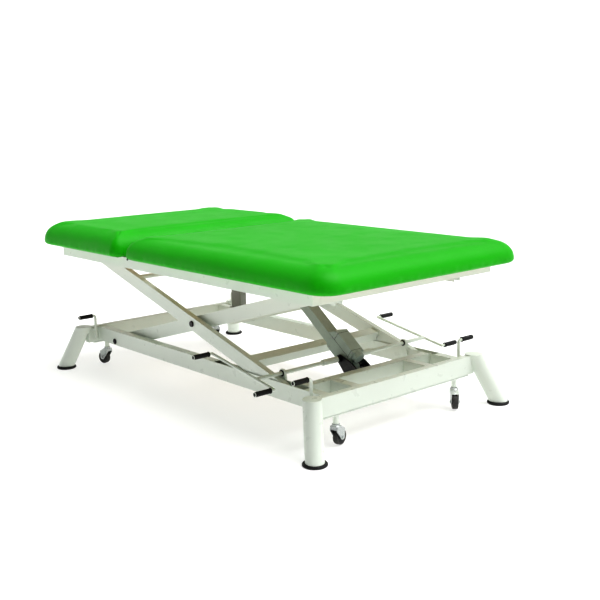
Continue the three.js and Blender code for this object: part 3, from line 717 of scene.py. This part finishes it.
def inside_recess(p, rest):
    """Whether a point lies on the walls or ceiling of the board's recess."""
    return p[2] < RECESS_TOP + TOUCH and abs(p[1]) < PAD_Y - RECESS + TOUCH and (
        rest[:, 0].min() + RECESS - TOUCH < p[0] < rest[:, 0].max() - RECESS + TOUCH
    )


CROWN = 0.002
CROWN_POWER = 3.2
END_PULL = 0.0022
SIDE_PULL = 0.0026
# Length and size of the small waves above the staples.
STAPLE_PULLS = ((0.052, 0.0007), (0.031, 0.0004), (0.117, 0.0008))
GATHER = 0.0011
GATHERS = 26


def dress(obj, x0, x1, high, seed):
    """Crown, pull-in between corners, pulls above the staples and gathers at the corners."""
    co = read_points(obj.data)
    x, y, z = co[:, 0].copy(), co[:, 1].copy(), co[:, 2].copy()
    half = (x1 - x0) / 2
    u = (x - (x0 + x1) / 2) / half
    v = y / PAD_Y
    rise = np.clip((z - PAD_WIDEST) / (high - PAD_WIDEST), 0, 1)
    crown = (1 - np.abs(u) ** CROWN_POWER) * (1 - np.abs(v) ** CROWN_POWER)
    co[:, 2] += CROWN * crown * rise
    middle = np.clip((z - PAD_LOW) / 0.02, 0, 1) * (1 - 0.6 * rise)
    edge_x = np.clip((np.abs(u) - 0.9) / 0.1, 0, 1)
    edge_y = np.clip((np.abs(v) - 0.9) / 0.1, 0, 1)
    co[:, 0] -= np.sign(u) * END_PULL * edge_x * middle * np.cos(np.clip(v, -1, 1) * math.pi / 2)
    co[:, 1] -= np.sign(v) * SIDE_PULL * edge_y * middle * np.cos(np.clip(u, -1, 1) * math.pi / 2)
    side = np.maximum(edge_x, edge_y)
    off_edge = np.clip((z - PAD_LOW) / 0.004, 0, 1)
    low = np.clip(1 - np.abs(z - PAD_LOW - 0.016) / 0.022, 0, 1) * off_edge
    rng = np.random.default_rng(seed)
    for wave, size in STAPLE_PULLS:
        phase = rng.uniform(0, 6.28, 2)
        pull = size * side * low
        co[:, 1] += np.sign(v) * pull * edge_y * np.sin(2 * math.pi * x / wave + phase[0])
        co[:, 0] += np.sign(u) * pull * edge_x * np.sin(2 * math.pi * y / wave + phase[1])
    for cx in (x0 + PLAN_RADIUS, x1 - PLAN_RADIUS):
        for cy in (-PAD_Y + PLAN_RADIUS, PAD_Y - PLAN_RADIUS):
            out_x = np.sign(cx - (x0 + x1) / 2)
            out_y = np.sign(cy)
            near = ((x - cx) * out_x > -0.01) & ((y - cy) * out_y > -0.01)
            angle = np.arctan2((y - cy) * out_y, (x - cx) * out_x)
            fade = np.clip(np.sin(2 * np.clip(angle, 0, math.pi / 2)), 0, 1)
            tall = np.clip(1 - np.abs(z - PAD_LOW - 0.014) / 0.03, 0, 1) * off_edge
            gather = GATHER * near * fade * tall * np.sin(angle * GATHERS + rng.uniform(0, 6))
            away = np.stack([(x - cx), (y - cy)], 1)
            away /= np.maximum(np.linalg.norm(away, axis=1), 1e-6)[:, None]
            co[:, :2] += away * gather[:, None]
    write_points(obj.data, co)


def subdivided(obj):
    """Applies one level of subdivision to the mesh itself."""
    modifier = obj.modifiers.new("subdivide", "SUBSURF")
    modifier.levels = 1
    modifier.render_levels = 1
    posed = obj.evaluated_get(bpy.context.evaluated_depsgraph_get())
    mesh = bpy.data.meshes.new_from_object(posed)
    obj.modifiers.remove(modifier)
    obj.data = mesh
    obj.vertex_groups.clear()


def make_pad(name, seed):
    """A whole pad in place of its CAD cushion."""
    x0, x1 = PAD_X[name]
    high = PAD_HIGH[name]
    verts, faces = pad_mesh(x0, x1, high, PAD_RADII[name])
    mesh = bpy.data.meshes.new(f"pad_{name}")
    mesh.from_pydata(verts, [], faces)
    mesh.materials.append(VINYL)
    obj = placed(f"pad_{name}", mesh)
    inflate(obj)
    subdivided(obj)
    dress(obj, x0, x1, high, seed)
    obj.data.shade_smooth()
    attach(obj, PAD_BODY[name])
    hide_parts(f"cushion_{name}")


make_pad("head", 11)
make_pad("body", 12)


# The cover is folded under the board and stapled.
HEM_STEPS = 120
HEM_TURN_STEPS = 30
HEM_START = 0.03
FRAYED_FROM = 50
# Inset from the pad's outline, height, and share of the corner's wave, in mm.
HEM_SECTION = (
    (31, 617.05, 0), (33, 616.3, 1), (43, 616.4, 1), (52, 616.6, 0), (53, 617.0, 0), (42, 617.15, 0),
)
STAPLE_INSET = 0.044
STAPLE_Z = 616.0
# How far along a staple, and how far up, in mm.
STAPLE = ((-5, 0.9), (-5, 0), (0, -0.15), (5, 0), (5, 0.9))


def hem(name):
    """The strip of cover under the board along its three outer sides, with gathers at the corners."""
    x0, x1 = PAD_X[name]
    out = -1 if name == "head" else 1
    end = x0 if name == "head" else x1
    split = x1 if name == "head" else x0
    rng = np.random.default_rng(5)
    cx, cy = end - out * PLAN_RADIUS, PAD_Y - PLAN_RADIUS
    first = split + out * HEM_START
    shares = [i / HEM_STEPS for i in range(HEM_STEPS + 1)]
    turns = [math.radians(90) * i / HEM_TURN_STEPS for i in range(1, HEM_TURN_STEPS)]
    path = [(first + (cx - first) * share, -cy, 0, -1, 0.0) for share in shares]
    path += [(cx, -cy, math.sin(t) * out, -math.cos(t), math.sin(2 * t)) for t in turns]
    path += [(cx, -cy + 2 * cy * share, out, 0, 0.0) for share in shares]
    path += [(cx, cy, math.cos(t) * out, math.sin(t), math.sin(2 * t)) for t in turns]
    path += [(cx + (first - cx) * share, cy, 0, 1, 0.0) for share in shares]
    rows = []
    for k, (px, py, nx, ny, turn) in enumerate(path):
        wave = 0.3 * turn * math.sin(k * 2.1) + 0.05 * math.sin(k * 0.7)
        frayed = 0.0008 * rng.uniform(-1, 1)
        row = []
        for inset, z, waved in HEM_SECTION:
            reach = PLAN_RADIUS - inset * MM + (frayed if inset > FRAYED_FROM else 0)
            row.append(((px + nx * reach) / MM - SHIFT.x, (py + ny * reach) / MM, z + waved * wave))
        rows.append(row)
    verts = [p for row in rows for p in row]
    faces = []
    n = len(rows[0])
    for k in range(len(rows) - 1):
        for i in range(n):
            j = (i + 1) % n
            quad = (k * n + i, k * n + j, (k + 1) * n + j, (k + 1) * n + i)
            faces.append(quad if out > 0 else tuple(reversed(quad)))
    faces.append(tuple(range(n)))
    faces.append(tuple(reversed(range((len(rows) - 1) * n, len(rows) * n))))
    piece(f"hem_{name}", [(verts, faces)], VINYL, PAD_BODY[name])
    staples = []
    for k in range(4, len(path) - 4, 4):
        px, py, nx, ny, _ = path[k]
        reach = PLAN_RADIUS - STAPLE_INSET
        middle = Vector(((px + nx * reach) / MM - SHIFT.x, (py + ny * reach) / MM, STAPLE_Z))
        run = Vector((ny, -nx, 0)).normalized()
        wire = [middle + run * along + Vector((0, 0, up)) for along, up in STAPLE]
        staples.append(sweep(wire, 0.5, 6))
    piece(f"staples_{name}", staples, STEEL, PAD_BODY[name])


hem("head")
hem("body")


# ---- Grips, caps, bushes and collars ----
def grip_profile(length, radius):
    """A ribbed rubber sleeve with a round closed end and a lip where the rod goes in."""
    rows = [(6.2, 0.4), (radius + 0.9, 0.0), (radius + 1.3, 1.2), (radius + 1.1, 3.0), (radius, 4.2)]
    steps = int((length - 16) / 1.3)
    for i in range(steps):
        along = 6 + i * 1.3
        rows.append((radius + 0.28 * math.sin(2 * math.pi * along / 5.2), along))
    end = length
    for t in (0, 25, 50, 70, 84):
        a = math.radians(t)
        rows.append((radius - 5 + 5 * math.cos(a), end - 5 + 5 * math.sin(a)))
    rows.append((0.0, end))
    return rows


GRIP_RADIUS = 9.8
PEDAL_GRIP_LENGTH = 77.6
LEVER_GRIP_LENGTH = 71.6
# Each grip's x and z.
PEDAL_GRIPS = {"head": (284, 282), "foot": (676, 212.4)}
LEVER_X = 802
LEVER_GRIP_Z = 272
for side_name, side in SIDES.items():
    for end_name, (x, z) in PEDAL_GRIPS.items():
        sleeve = grip_profile(PEDAL_GRIP_LENGTH, GRIP_RADIUS)
        parts = [lathe((x, side * 497, z), (x, side * 575, z), sleeve, 28)]
        piece(f"grip_pedal_{end_name}_{side_name}", parts, GRIP, f"pedal_bar_{side_name}")
    for end_name, end in ENDS.items():
        x = BASE_X + end * LEVER_X
        body = f"castor_lever_{end_name}_{side_name}"
        sleeve = grip_profile(LEVER_GRIP_LENGTH, GRIP_RADIUS)
        parts = [lathe((x, side * 438, LEVER_GRIP_Z), (x, side * 512, LEVER_GRIP_Z), sleeve, 28)]
        piece(f"grip_lever_{end_name}_{side_name}", parts, GRIP, body)

DOME = [
    (0.0, 0.0), (10.6, 0.0), (13.6, 0.3), (14.0, 1.4), (13.4, 3.0), (11.6, 4.6), (8.4, 5.9), (4.4, 6.6),
    (0.0, 6.9),
]
DOT = [(r * 0.42, h * 0.4) for r, h in DOME]
COLLAR = [
    (12.2, 42.6), (13.6, 42.8), (14.4, 43.8), (14.4, 51.2), (13.6, 52.2), (12.2, 52.4), (8.3, 52.4),
    (8.3, 42.6), (12.2, 42.6),
]
BUSH = [(8.25, 0.0), (12.4, 0.0), (13.2, 0.8), (13.2, 2.0), (12.0, 3.0), (8.25, 3.0), (8.25, 0.0)]
PIVOT_X, PIVOT_Z = -655, 157
HINGE_X, HINGE_CAP_Z = -314, 609
SHAFT_X, SHAFT_Z = 570.16, 231.19


def on_shaft(y):
    """A point on the middle line of the foot-control bars' shaft."""
    return (SHAFT_X, y, SHAFT_Z)


for side_name, side in SIDES.items():
    parts = [lathe((PIVOT_X, side * 391.4, PIVOT_Z), (PIVOT_X, side * 400, PIVOT_Z), DOME, 36)]
    piece(f"pivot_cap_{side_name}", parts, PLASTIC, "base")
    parts = [lathe((HINGE_X, side * 496.9, HINGE_CAP_Z), (HINGE_X, side * 510, HINGE_CAP_Z), DOT, 24)]
    piece(f"hinge_cap_{side_name}", parts, PLASTIC, "top")
    parts = [lathe(on_shaft(0), on_shaft(side * 10), COLLAR, 36)]
    piece(f"pedal_collar_{side_name}", parts, PLASTIC, f"pedal_bar_{side_name}")
    parts = [
        lathe(on_shaft(side * 342.9), on_shaft(0), BUSH, 32),
        lathe(on_shaft(side * 352.1), on_shaft(side * 400), BUSH, 32),
    ]
    piece(f"pedal_bush_{side_name}", parts, PLASTIC, "base")


# ---- Weld beads ----
def rectangle(axis, at, a0, a1, b0, b1):
    """Corners of a rectangle square to an axis, in mm."""
    if axis == "x":
        return [Vector((at, a, b)) for a, b in ((a0, b0), (a1, b0), (a1, b1), (a0, b1))]
    return [Vector((a, at, b)) for a, b in ((a0, b0), (a1, b0), (a1, b1), (a0, b1))]


LEG_RADIUS = 36.0
SEAM_STEPS = 39
SEAM_Z = (134.5, 210)
TUBE_END_Y = 448


def leg_seam(end, side, plane_x):
    """Where a leaning leg's outside meets the end crossmember's upright face, in mm."""
    foot = Vector((BASE_X + end * 934, side * 526, 12))
    top = Vector((BASE_X + end * 851, side * 461, 215))
    d = (top - foot).normalized()
    points = []
    for k in range(SEAM_STEPS + 1):
        z = SEAM_Z[0] + k * (SEAM_Z[1] - SEAM_Z[0]) / SEAM_STEPS
        base = Vector((plane_x, 0, z)) - foot
        # |p - (p.d) d| = radius, solved for y.
        a = 1 - d.y * d.y
        b = 2 * (base.y - d.y * base.dot(d))
        c = base.dot(base) - base.dot(d) ** 2 - LEG_RADIUS ** 2
        under = b * b - 4 * a * c
        if under < 0:
            continue
        root = math.sqrt(under)
        y = min((-b - root) / (2 * a), (-b + root) / (2 * a), key=abs)
        if abs(y) < TUBE_END_Y:
            points.append(Vector((plane_x, y, z)))
    return points


beads = []
BEAD = dict(sides=8, ripple=0.1, pitch=2.6)
for side in SIDES.values():
    y0, y1 = sorted((side * RAIL_INNER_Y, side * RAIL_OUTER_Y))
    for end in ENDS.values():
        corners = rectangle("x", BASE_X + end * END_TUBE_INNER, y0, y1, TUBE_BOTTOM, TUBE_TOP)
        beads.append(sweep(loop(corners), 1.9, closed=True, **BEAD))
    corners = rectangle("y", side * 350.7, 676, 716, TUBE_BOTTOM, TUBE_TOP)
    beads.append(sweep(loop(corners), 1.9, closed=True, **BEAD))
    d0, d1 = sorted((side * 188, side * 228))
    for x in (716.2, BASE_X + END_TUBE_INNER):
        corners = rectangle("x", x, d0, d1, TUBE_BOTTOM, TUBE_TOP)
        beads.append(sweep(loop(corners), 1.8, closed=True, **BEAD))
    for end in ENDS.values():
        for face in (830, 861):
            seam = leg_seam(end, side, BASE_X + end * face)
            if len(seam) > 6:
                beads.append(sweep(seam, 2.0, **BEAD))
piece("weld_beads", beads, WHITE, "base", 60)


# ---- Castor wheels ----
# Radius and distance across the wheel, for one half of each section.
TYRE_WIDTH = 26
HALF_TYRE = [(25.6, 2.6), (27.6, 1.6), (29.4, 2.0), (30.5, 3.8), (30.9, 7.4), (31.0, TYRE_WIDTH / 2)]
HALF_CORE = [
    (4.4, 0.2), (8.6, 0.2), (9.8, 1.4), (10.6, 4.4), (15.0, 5.4), (22.6, 4.2), (24.2, 2.4), (25.6, 2.4),
    (25.9, 4.6),
]
NUT = [(0.0, 0.0), (5.4, 0.0), (6.6, 0.5), (6.6, 2.4), (5.2, 3.6), (2.6, 4.2), (0.0, 4.4)]
RACE = [
    (10.0, 0.0), (16.4, 0.0), (17.4, 1.0), (17.4, 4.6), (16.2, 6.0), (14.6, 6.6), (10.0, 6.6), (10.0, 0.0),
]
FORK_OUTER = 16.9
STEM_X, STEM_Y, RACE_Z = 846, 340, 79.5


def wheel(name, centre, axis):
    """A tyre band round a dished core with a hub on each side, for the axle to pass through."""
    u = Vector(axis).normalized()
    start = Vector(centre) - u * (TYRE_WIDTH / 2)
    tyre = HALF_TYRE + [(r, TYRE_WIDTH - h) for r, h in reversed(HALF_TYRE[:-1])] + HALF_TYRE[:1]
    core = HALF_CORE + [(r, TYRE_WIDTH - h) for r, h in reversed(HALF_CORE)] + HALF_CORE[:1]
    body = f"castor_wheel_{name}"
    band = piece(f"tyre_{name}", [lathe(start, start + u, tyre, 48)], TYRE, body)
    piece(f"wheel_core_{name}", [lathe(start, start + u, core, 48)], CORE, body)
    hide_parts(body)


# Which way each castor trails at rest, in degrees.
TRAILS = {"foot_near": 104, "foot_far": -41, "head_near": 194, "head_far": 160}
for castor_name, trail in TRAILS.items():
    turn = math.radians(trail)
    end_name, side_name = castor_name.split("_")
    low_corner, high_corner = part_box(f"castor_wheel_{castor_name}")
    centre = (low_corner + high_corner) / 2 / MM - SHIFT
    axis = Vector((-math.sin(turn), math.cos(turn), 0))
    wheel(castor_name, centre, axis)
    parts = []
    for k in (-1, 1):
        face = centre + axis * (k * FORK_OUTER)
        parts.append(lathe(face, face + axis * k, NUT, 6 if k > 0 else 28))
    stem = Vector((BASE_X + ENDS[end_name] * STEM_X, SIDES[side_name] * STEM_Y, RACE_Z))
    parts.append(lathe(stem, stem + Vector((0, 0, 1)), RACE, 40))
    piece(f"castor_axle_{castor_name}", parts, ZINC, f"castor_fork_{castor_name}", 30)


# ---- Actuator details ----
# Its lower pin, the directions along and across it, and where its tube and motor box end.
ACT = Vector((622, 0, 198))
ALONG = Vector((-0.79542, 0, 0.60606))
ACROSS = Vector((0.60606, 0, 0.79542))
TUBE_HALF_HIGH, TUBE_HALF_WIDE = 22.2, 26.2
MOTOR_LOW, MOTOR_HIGH, MOTOR_HALF_WIDE = 28.4, 66.1, 30.1


def act(s, t, y):
    """A point on the actuator: s along it from its lower pin, t across it."""
    return ACT + ALONG * s + ACROSS * t + Vector((0, y, 0))


def act_ring(s, low, high, half, radius):
    """A bead round the actuator, square to it."""
    corners = [act(s, low, -half), act(s, high, -half), act(s, high, half), act(s, low, half)]
    return sweep(loop(corners, 2.0), radius, 6, closed=True)


seams = [act_ring(s, -TUBE_HALF_HIGH, TUBE_HALF_HIGH, TUBE_HALF_WIDE, 0.9) for s in (163, 372)]
seams += [act_ring(s, MOTOR_LOW, MOTOR_HIGH, MOTOR_HALF_WIDE, 0.7) for s in (40, 138)]
for side in SIDES.values():
    y = side * MOTOR_HALF_WIDE
    seams.append(sweep(line(act(34, 28.0, y), act(160, 28.0, y), 3.0), 0.7, 6))
piece("actuator_seams", seams, PLASTIC, "actuator_housing")

# A pan-head screw with a recess, from its rim inwards.
PAN = [(3.8, 0.0), (3.8, 0.6), (3.4, 1.6), (2.6, 2.2), (1.8, 2.2), (1.6, 1.0), (0.0, 1.0)]
screws = []
for side in SIDES.values():
    for s, t in ((32, 34), (32, 60), (144, 34), (144, 60), (36, -22), (142, -22), (42, 20), (152, 22)):
        face = act(s, t, side * 29.9)
        screws.append(lathe(face, face + Vector((0, side, 0)), PAN, 20))
piece("actuator_screws", screws, ZINC, "actuator_housing")


# ---- Control unit on the far rail at the head end, partly seen behind the near inner arm ----
def rounded_block(low, high, radius, rows=6):
    """A block with round upright corners and a rounded rim at both ends, in mm."""
    verts = []
    faces = []
    tall = high[2] - low[2]
    levels = ((2.2, 0.0), (0.6, 0.7), (0.0, 2.2), (0.0, tall - 2.2), (0.6, tall - 0.7), (2.2, tall))
    corners = ((high[0], low[1], -90), (high[0], high[1], 0), (low[0], high[1], 90), (low[0], low[1], 180))
    for inset, rise in levels:
        for cx, cy, start in corners:
            mx = cx - math.copysign(radius, cx - (low[0] + high[0]) / 2)
            my = cy - math.copysign(radius, cy - (low[1] + high[1]) / 2)
            for i in range(rows + 1):
                t = math.radians(start + 90 * i / rows)
                reach = radius - inset
                verts.append((mx + reach * math.cos(t), my + reach * math.sin(t), low[2] + rise))
    count = 4 * (rows + 1)
    for level in range(len(levels) - 1):
        for i in range(count):
            j = (i + 1) % count
            a = level * count
            faces.append((a + i, a + j, a + count + j, a + count + i))
    faces.append(tuple(reversed(range(count))))
    faces.append(tuple(range((len(levels) - 1) * count, len(levels) * count)))
    return verts, faces


UNIT_X = (-708, -628)
UNIT_Y = (362, 404)
UNIT_Z = (211, 330)
LID_Z = 318
FLANGE_X = 8
FLANGE_Y = (353, 390)
FLANGE_Z = (208.3, 210.8)
FLANGE_SCREW = [(r * 0.75, h) for r, h in PAN]
GLAND = [(5.6, 0.0), (5.2, 4.0), (3.4, 5.0), (0.0, 5.0)]
GLAND_Z = 226
unit = [
    rounded_block((UNIT_X[0], UNIT_Y[0], UNIT_Z[0]), (UNIT_X[1], UNIT_Y[1], UNIT_Z[1]), 5),
    rounded_block(
        (UNIT_X[0] - FLANGE_X, FLANGE_Y[0], FLANGE_Z[0]),
        (UNIT_X[1] + FLANGE_X, FLANGE_Y[1], FLANGE_Z[1]), 3,
    ),
]
piece("control_unit", unit, BOX, "base", 30)
lid = loop([Vector((UNIT_X[i], UNIT_Y[j], LID_Z)) for i, j in ((0, 0), (1, 0), (1, 1), (0, 1))], 2.0)
unit = [sweep(lid, 0.8, 6, closed=True)]
for x in (UNIT_X[0] - 4.5, UNIT_X[1] + 4.5):
    unit.append(lathe((x, 372, 210.7), (x, 372, 220), FLANGE_SCREW, 20))
for k in range(3):
    x = UNIT_X[0] + 16 + k * 24
    unit.append(lathe((x, UNIT_Y[1] - 0.2, GLAND_Z), (x, UNIT_Y[1] + 9, GLAND_Z), GLAND, 20))
piece("control_unit_fittings", unit, PLASTIC, "base", 30)


# ---- Floor, light and camera ----
def studio_floor():
    """A large plain floor with a faint grain."""
    size = 30.0
    steps = 24
    along = [size * (2 * i / steps - 1) for i in range(steps + 1)]
    verts = [(x, y, 0.0) for y in along for x in along]
    faces = []
    for j in range(steps):
        for i in range(steps):
            a = j * (steps + 1) + i
            faces.append((a, a + 1, a + steps + 2, a + steps + 1))
    mesh = bpy.data.meshes.new("floor")
    mesh.from_pydata(verts, [], faces)
    g = Graph("studio_floor")
    tone = g.mix(g.noise(0.8, 2.0), (0.5, 0.5, 0.5, 1.0), (0.53, 0.53, 0.52, 1.0))
    glow = dict(Emission_Color=(1.0, 1.0, 0.99, 1.0), Emission_Strength=0.45)
    normal = g.bump(g.noise(30.0, 2.0), 0.02, 0.001)
    mesh.materials.append(g.finish(tone, 0.6, normal, Specular_IOR_Level=0.1, **glow))
    placed("floor", mesh)


studio_floor()

# Which way the camera stands from the couch.
CAMERA_SIDE = (0.742, -0.641, 0.194)


def studio_world():
    """A white dome, bright low down and dim on the camera's side, but plain white when seen directly."""
    world = bpy.data.worlds.new("studio")
    world.use_nodes = True
    bpy.context.scene.world = world
    nodes = world.node_tree.nodes
    wire = world.node_tree.links.new

    def fade(value, start, end, to_start, to_end):
        made = nodes.new("ShaderNodeMapRange")
        wire(value, made.inputs["Value"])
        preset(made, From_Min=start, From_Max=end, To_Min=to_start, To_Max=to_end)
        return made.outputs["Result"]

    direction = nodes.new("ShaderNodeTexCoord").outputs["Generated"]
    split = nodes.new("ShaderNodeSeparateXYZ")
    wire(direction, split.inputs[0])
    towards = nodes.new("ShaderNodeVectorMath")
    towards.operation = "DOT_PRODUCT"
    towards.inputs[1].default_value = CAMERA_SIDE
    wire(direction, towards.inputs[0])
    both = nodes.new("ShaderNodeMath")
    both.operation = "MULTIPLY"
    wire(fade(split.outputs["Z"], 0.115, 0.22, 1.0, 0.4), both.inputs[0])
    wire(fade(towards.outputs["Value"], -0.2, 0.45, 1.0, 0.18), both.inputs[1])
    plain = nodes.new("ShaderNodeMix")
    plain.data_type = "FLOAT"
    plain.inputs["B"].default_value = 1.0
    wire(nodes.new("ShaderNodeLightPath").outputs["Is Camera Ray"], plain.inputs["Factor"])
    wire(both.outputs["Value"], plain.inputs["A"])
    sky = nodes["Background"]
    sky.inputs["Color"].default_value = (1.0, 1.0, 1.0, 1.0)
    wire(plain.outputs["Result"], sky.inputs["Strength"])


studio_world()


def key_light():
    """A soft panel beyond the foot end."""
    lamp = bpy.data.lights.new("key_foot", "AREA")
    lamp.shape = "RECTANGLE"
    lamp.size, lamp.size_y = 2.4, 2.0
    lamp.energy = 12.0
    where = Vector((5.2, 0.2, 2.0))
    towards = Vector((0.6, 0.0, 0.3))
    obj = placed("key_foot", lamp)
    obj.location = where
    obj.rotation_euler = (towards - where).to_track_quat("-Z", "Y").to_euler()


def overhead_light():
    """A wide soft sun from above, leaning to the foot end and the far side."""
    sun = bpy.data.lights.new("overhead_soft", "SUN")
    sun.energy = 2.9
    sun.angle = math.radians(50)
    obj = placed("overhead_soft", sun)
    obj.rotation_euler = Vector((0.3, 0.3, 1.0)).to_track_quat("Z", "Y").to_euler()


key_light()
overhead_light()


def studio_camera():
    """A camera at the photograph's viewing angle."""
    azimuth = math.radians(49.1765)
    elevation = math.radians(11.190)
    roll = math.radians(-1.166)
    distance = 3.8919
    target = Vector((0.4511, -0.1325, 0.4737))
    back = Vector((
        math.sin(azimuth) * math.cos(elevation),
        -math.cos(azimuth) * math.cos(elevation),
        math.sin(elevation),
    ))
    right = Vector((math.cos(azimuth), math.sin(azimuth), 0))
    up = back.cross(right)
    camera_right = right * math.cos(roll) + up * math.sin(roll)
    camera_up = up * math.cos(roll) - right * math.sin(roll)
    place = target + back * distance
    data = bpy.data.cameras.new("camera")
    data.lens = 56.44
    data.sensor_width = 36.0
    data.clip_end = 200.0
    obj = placed("camera", data)
    turn = Matrix((camera_right, camera_up, back)).transposed().to_4x4()
    obj.matrix_world = Matrix.Translation(place) @ turn
    bpy.context.scene.camera = obj


studio_camera()
bpy.context.scene.view_settings.view_transform = "Standard"
bpy.context.scene.view_settings.look = "High Contrast"
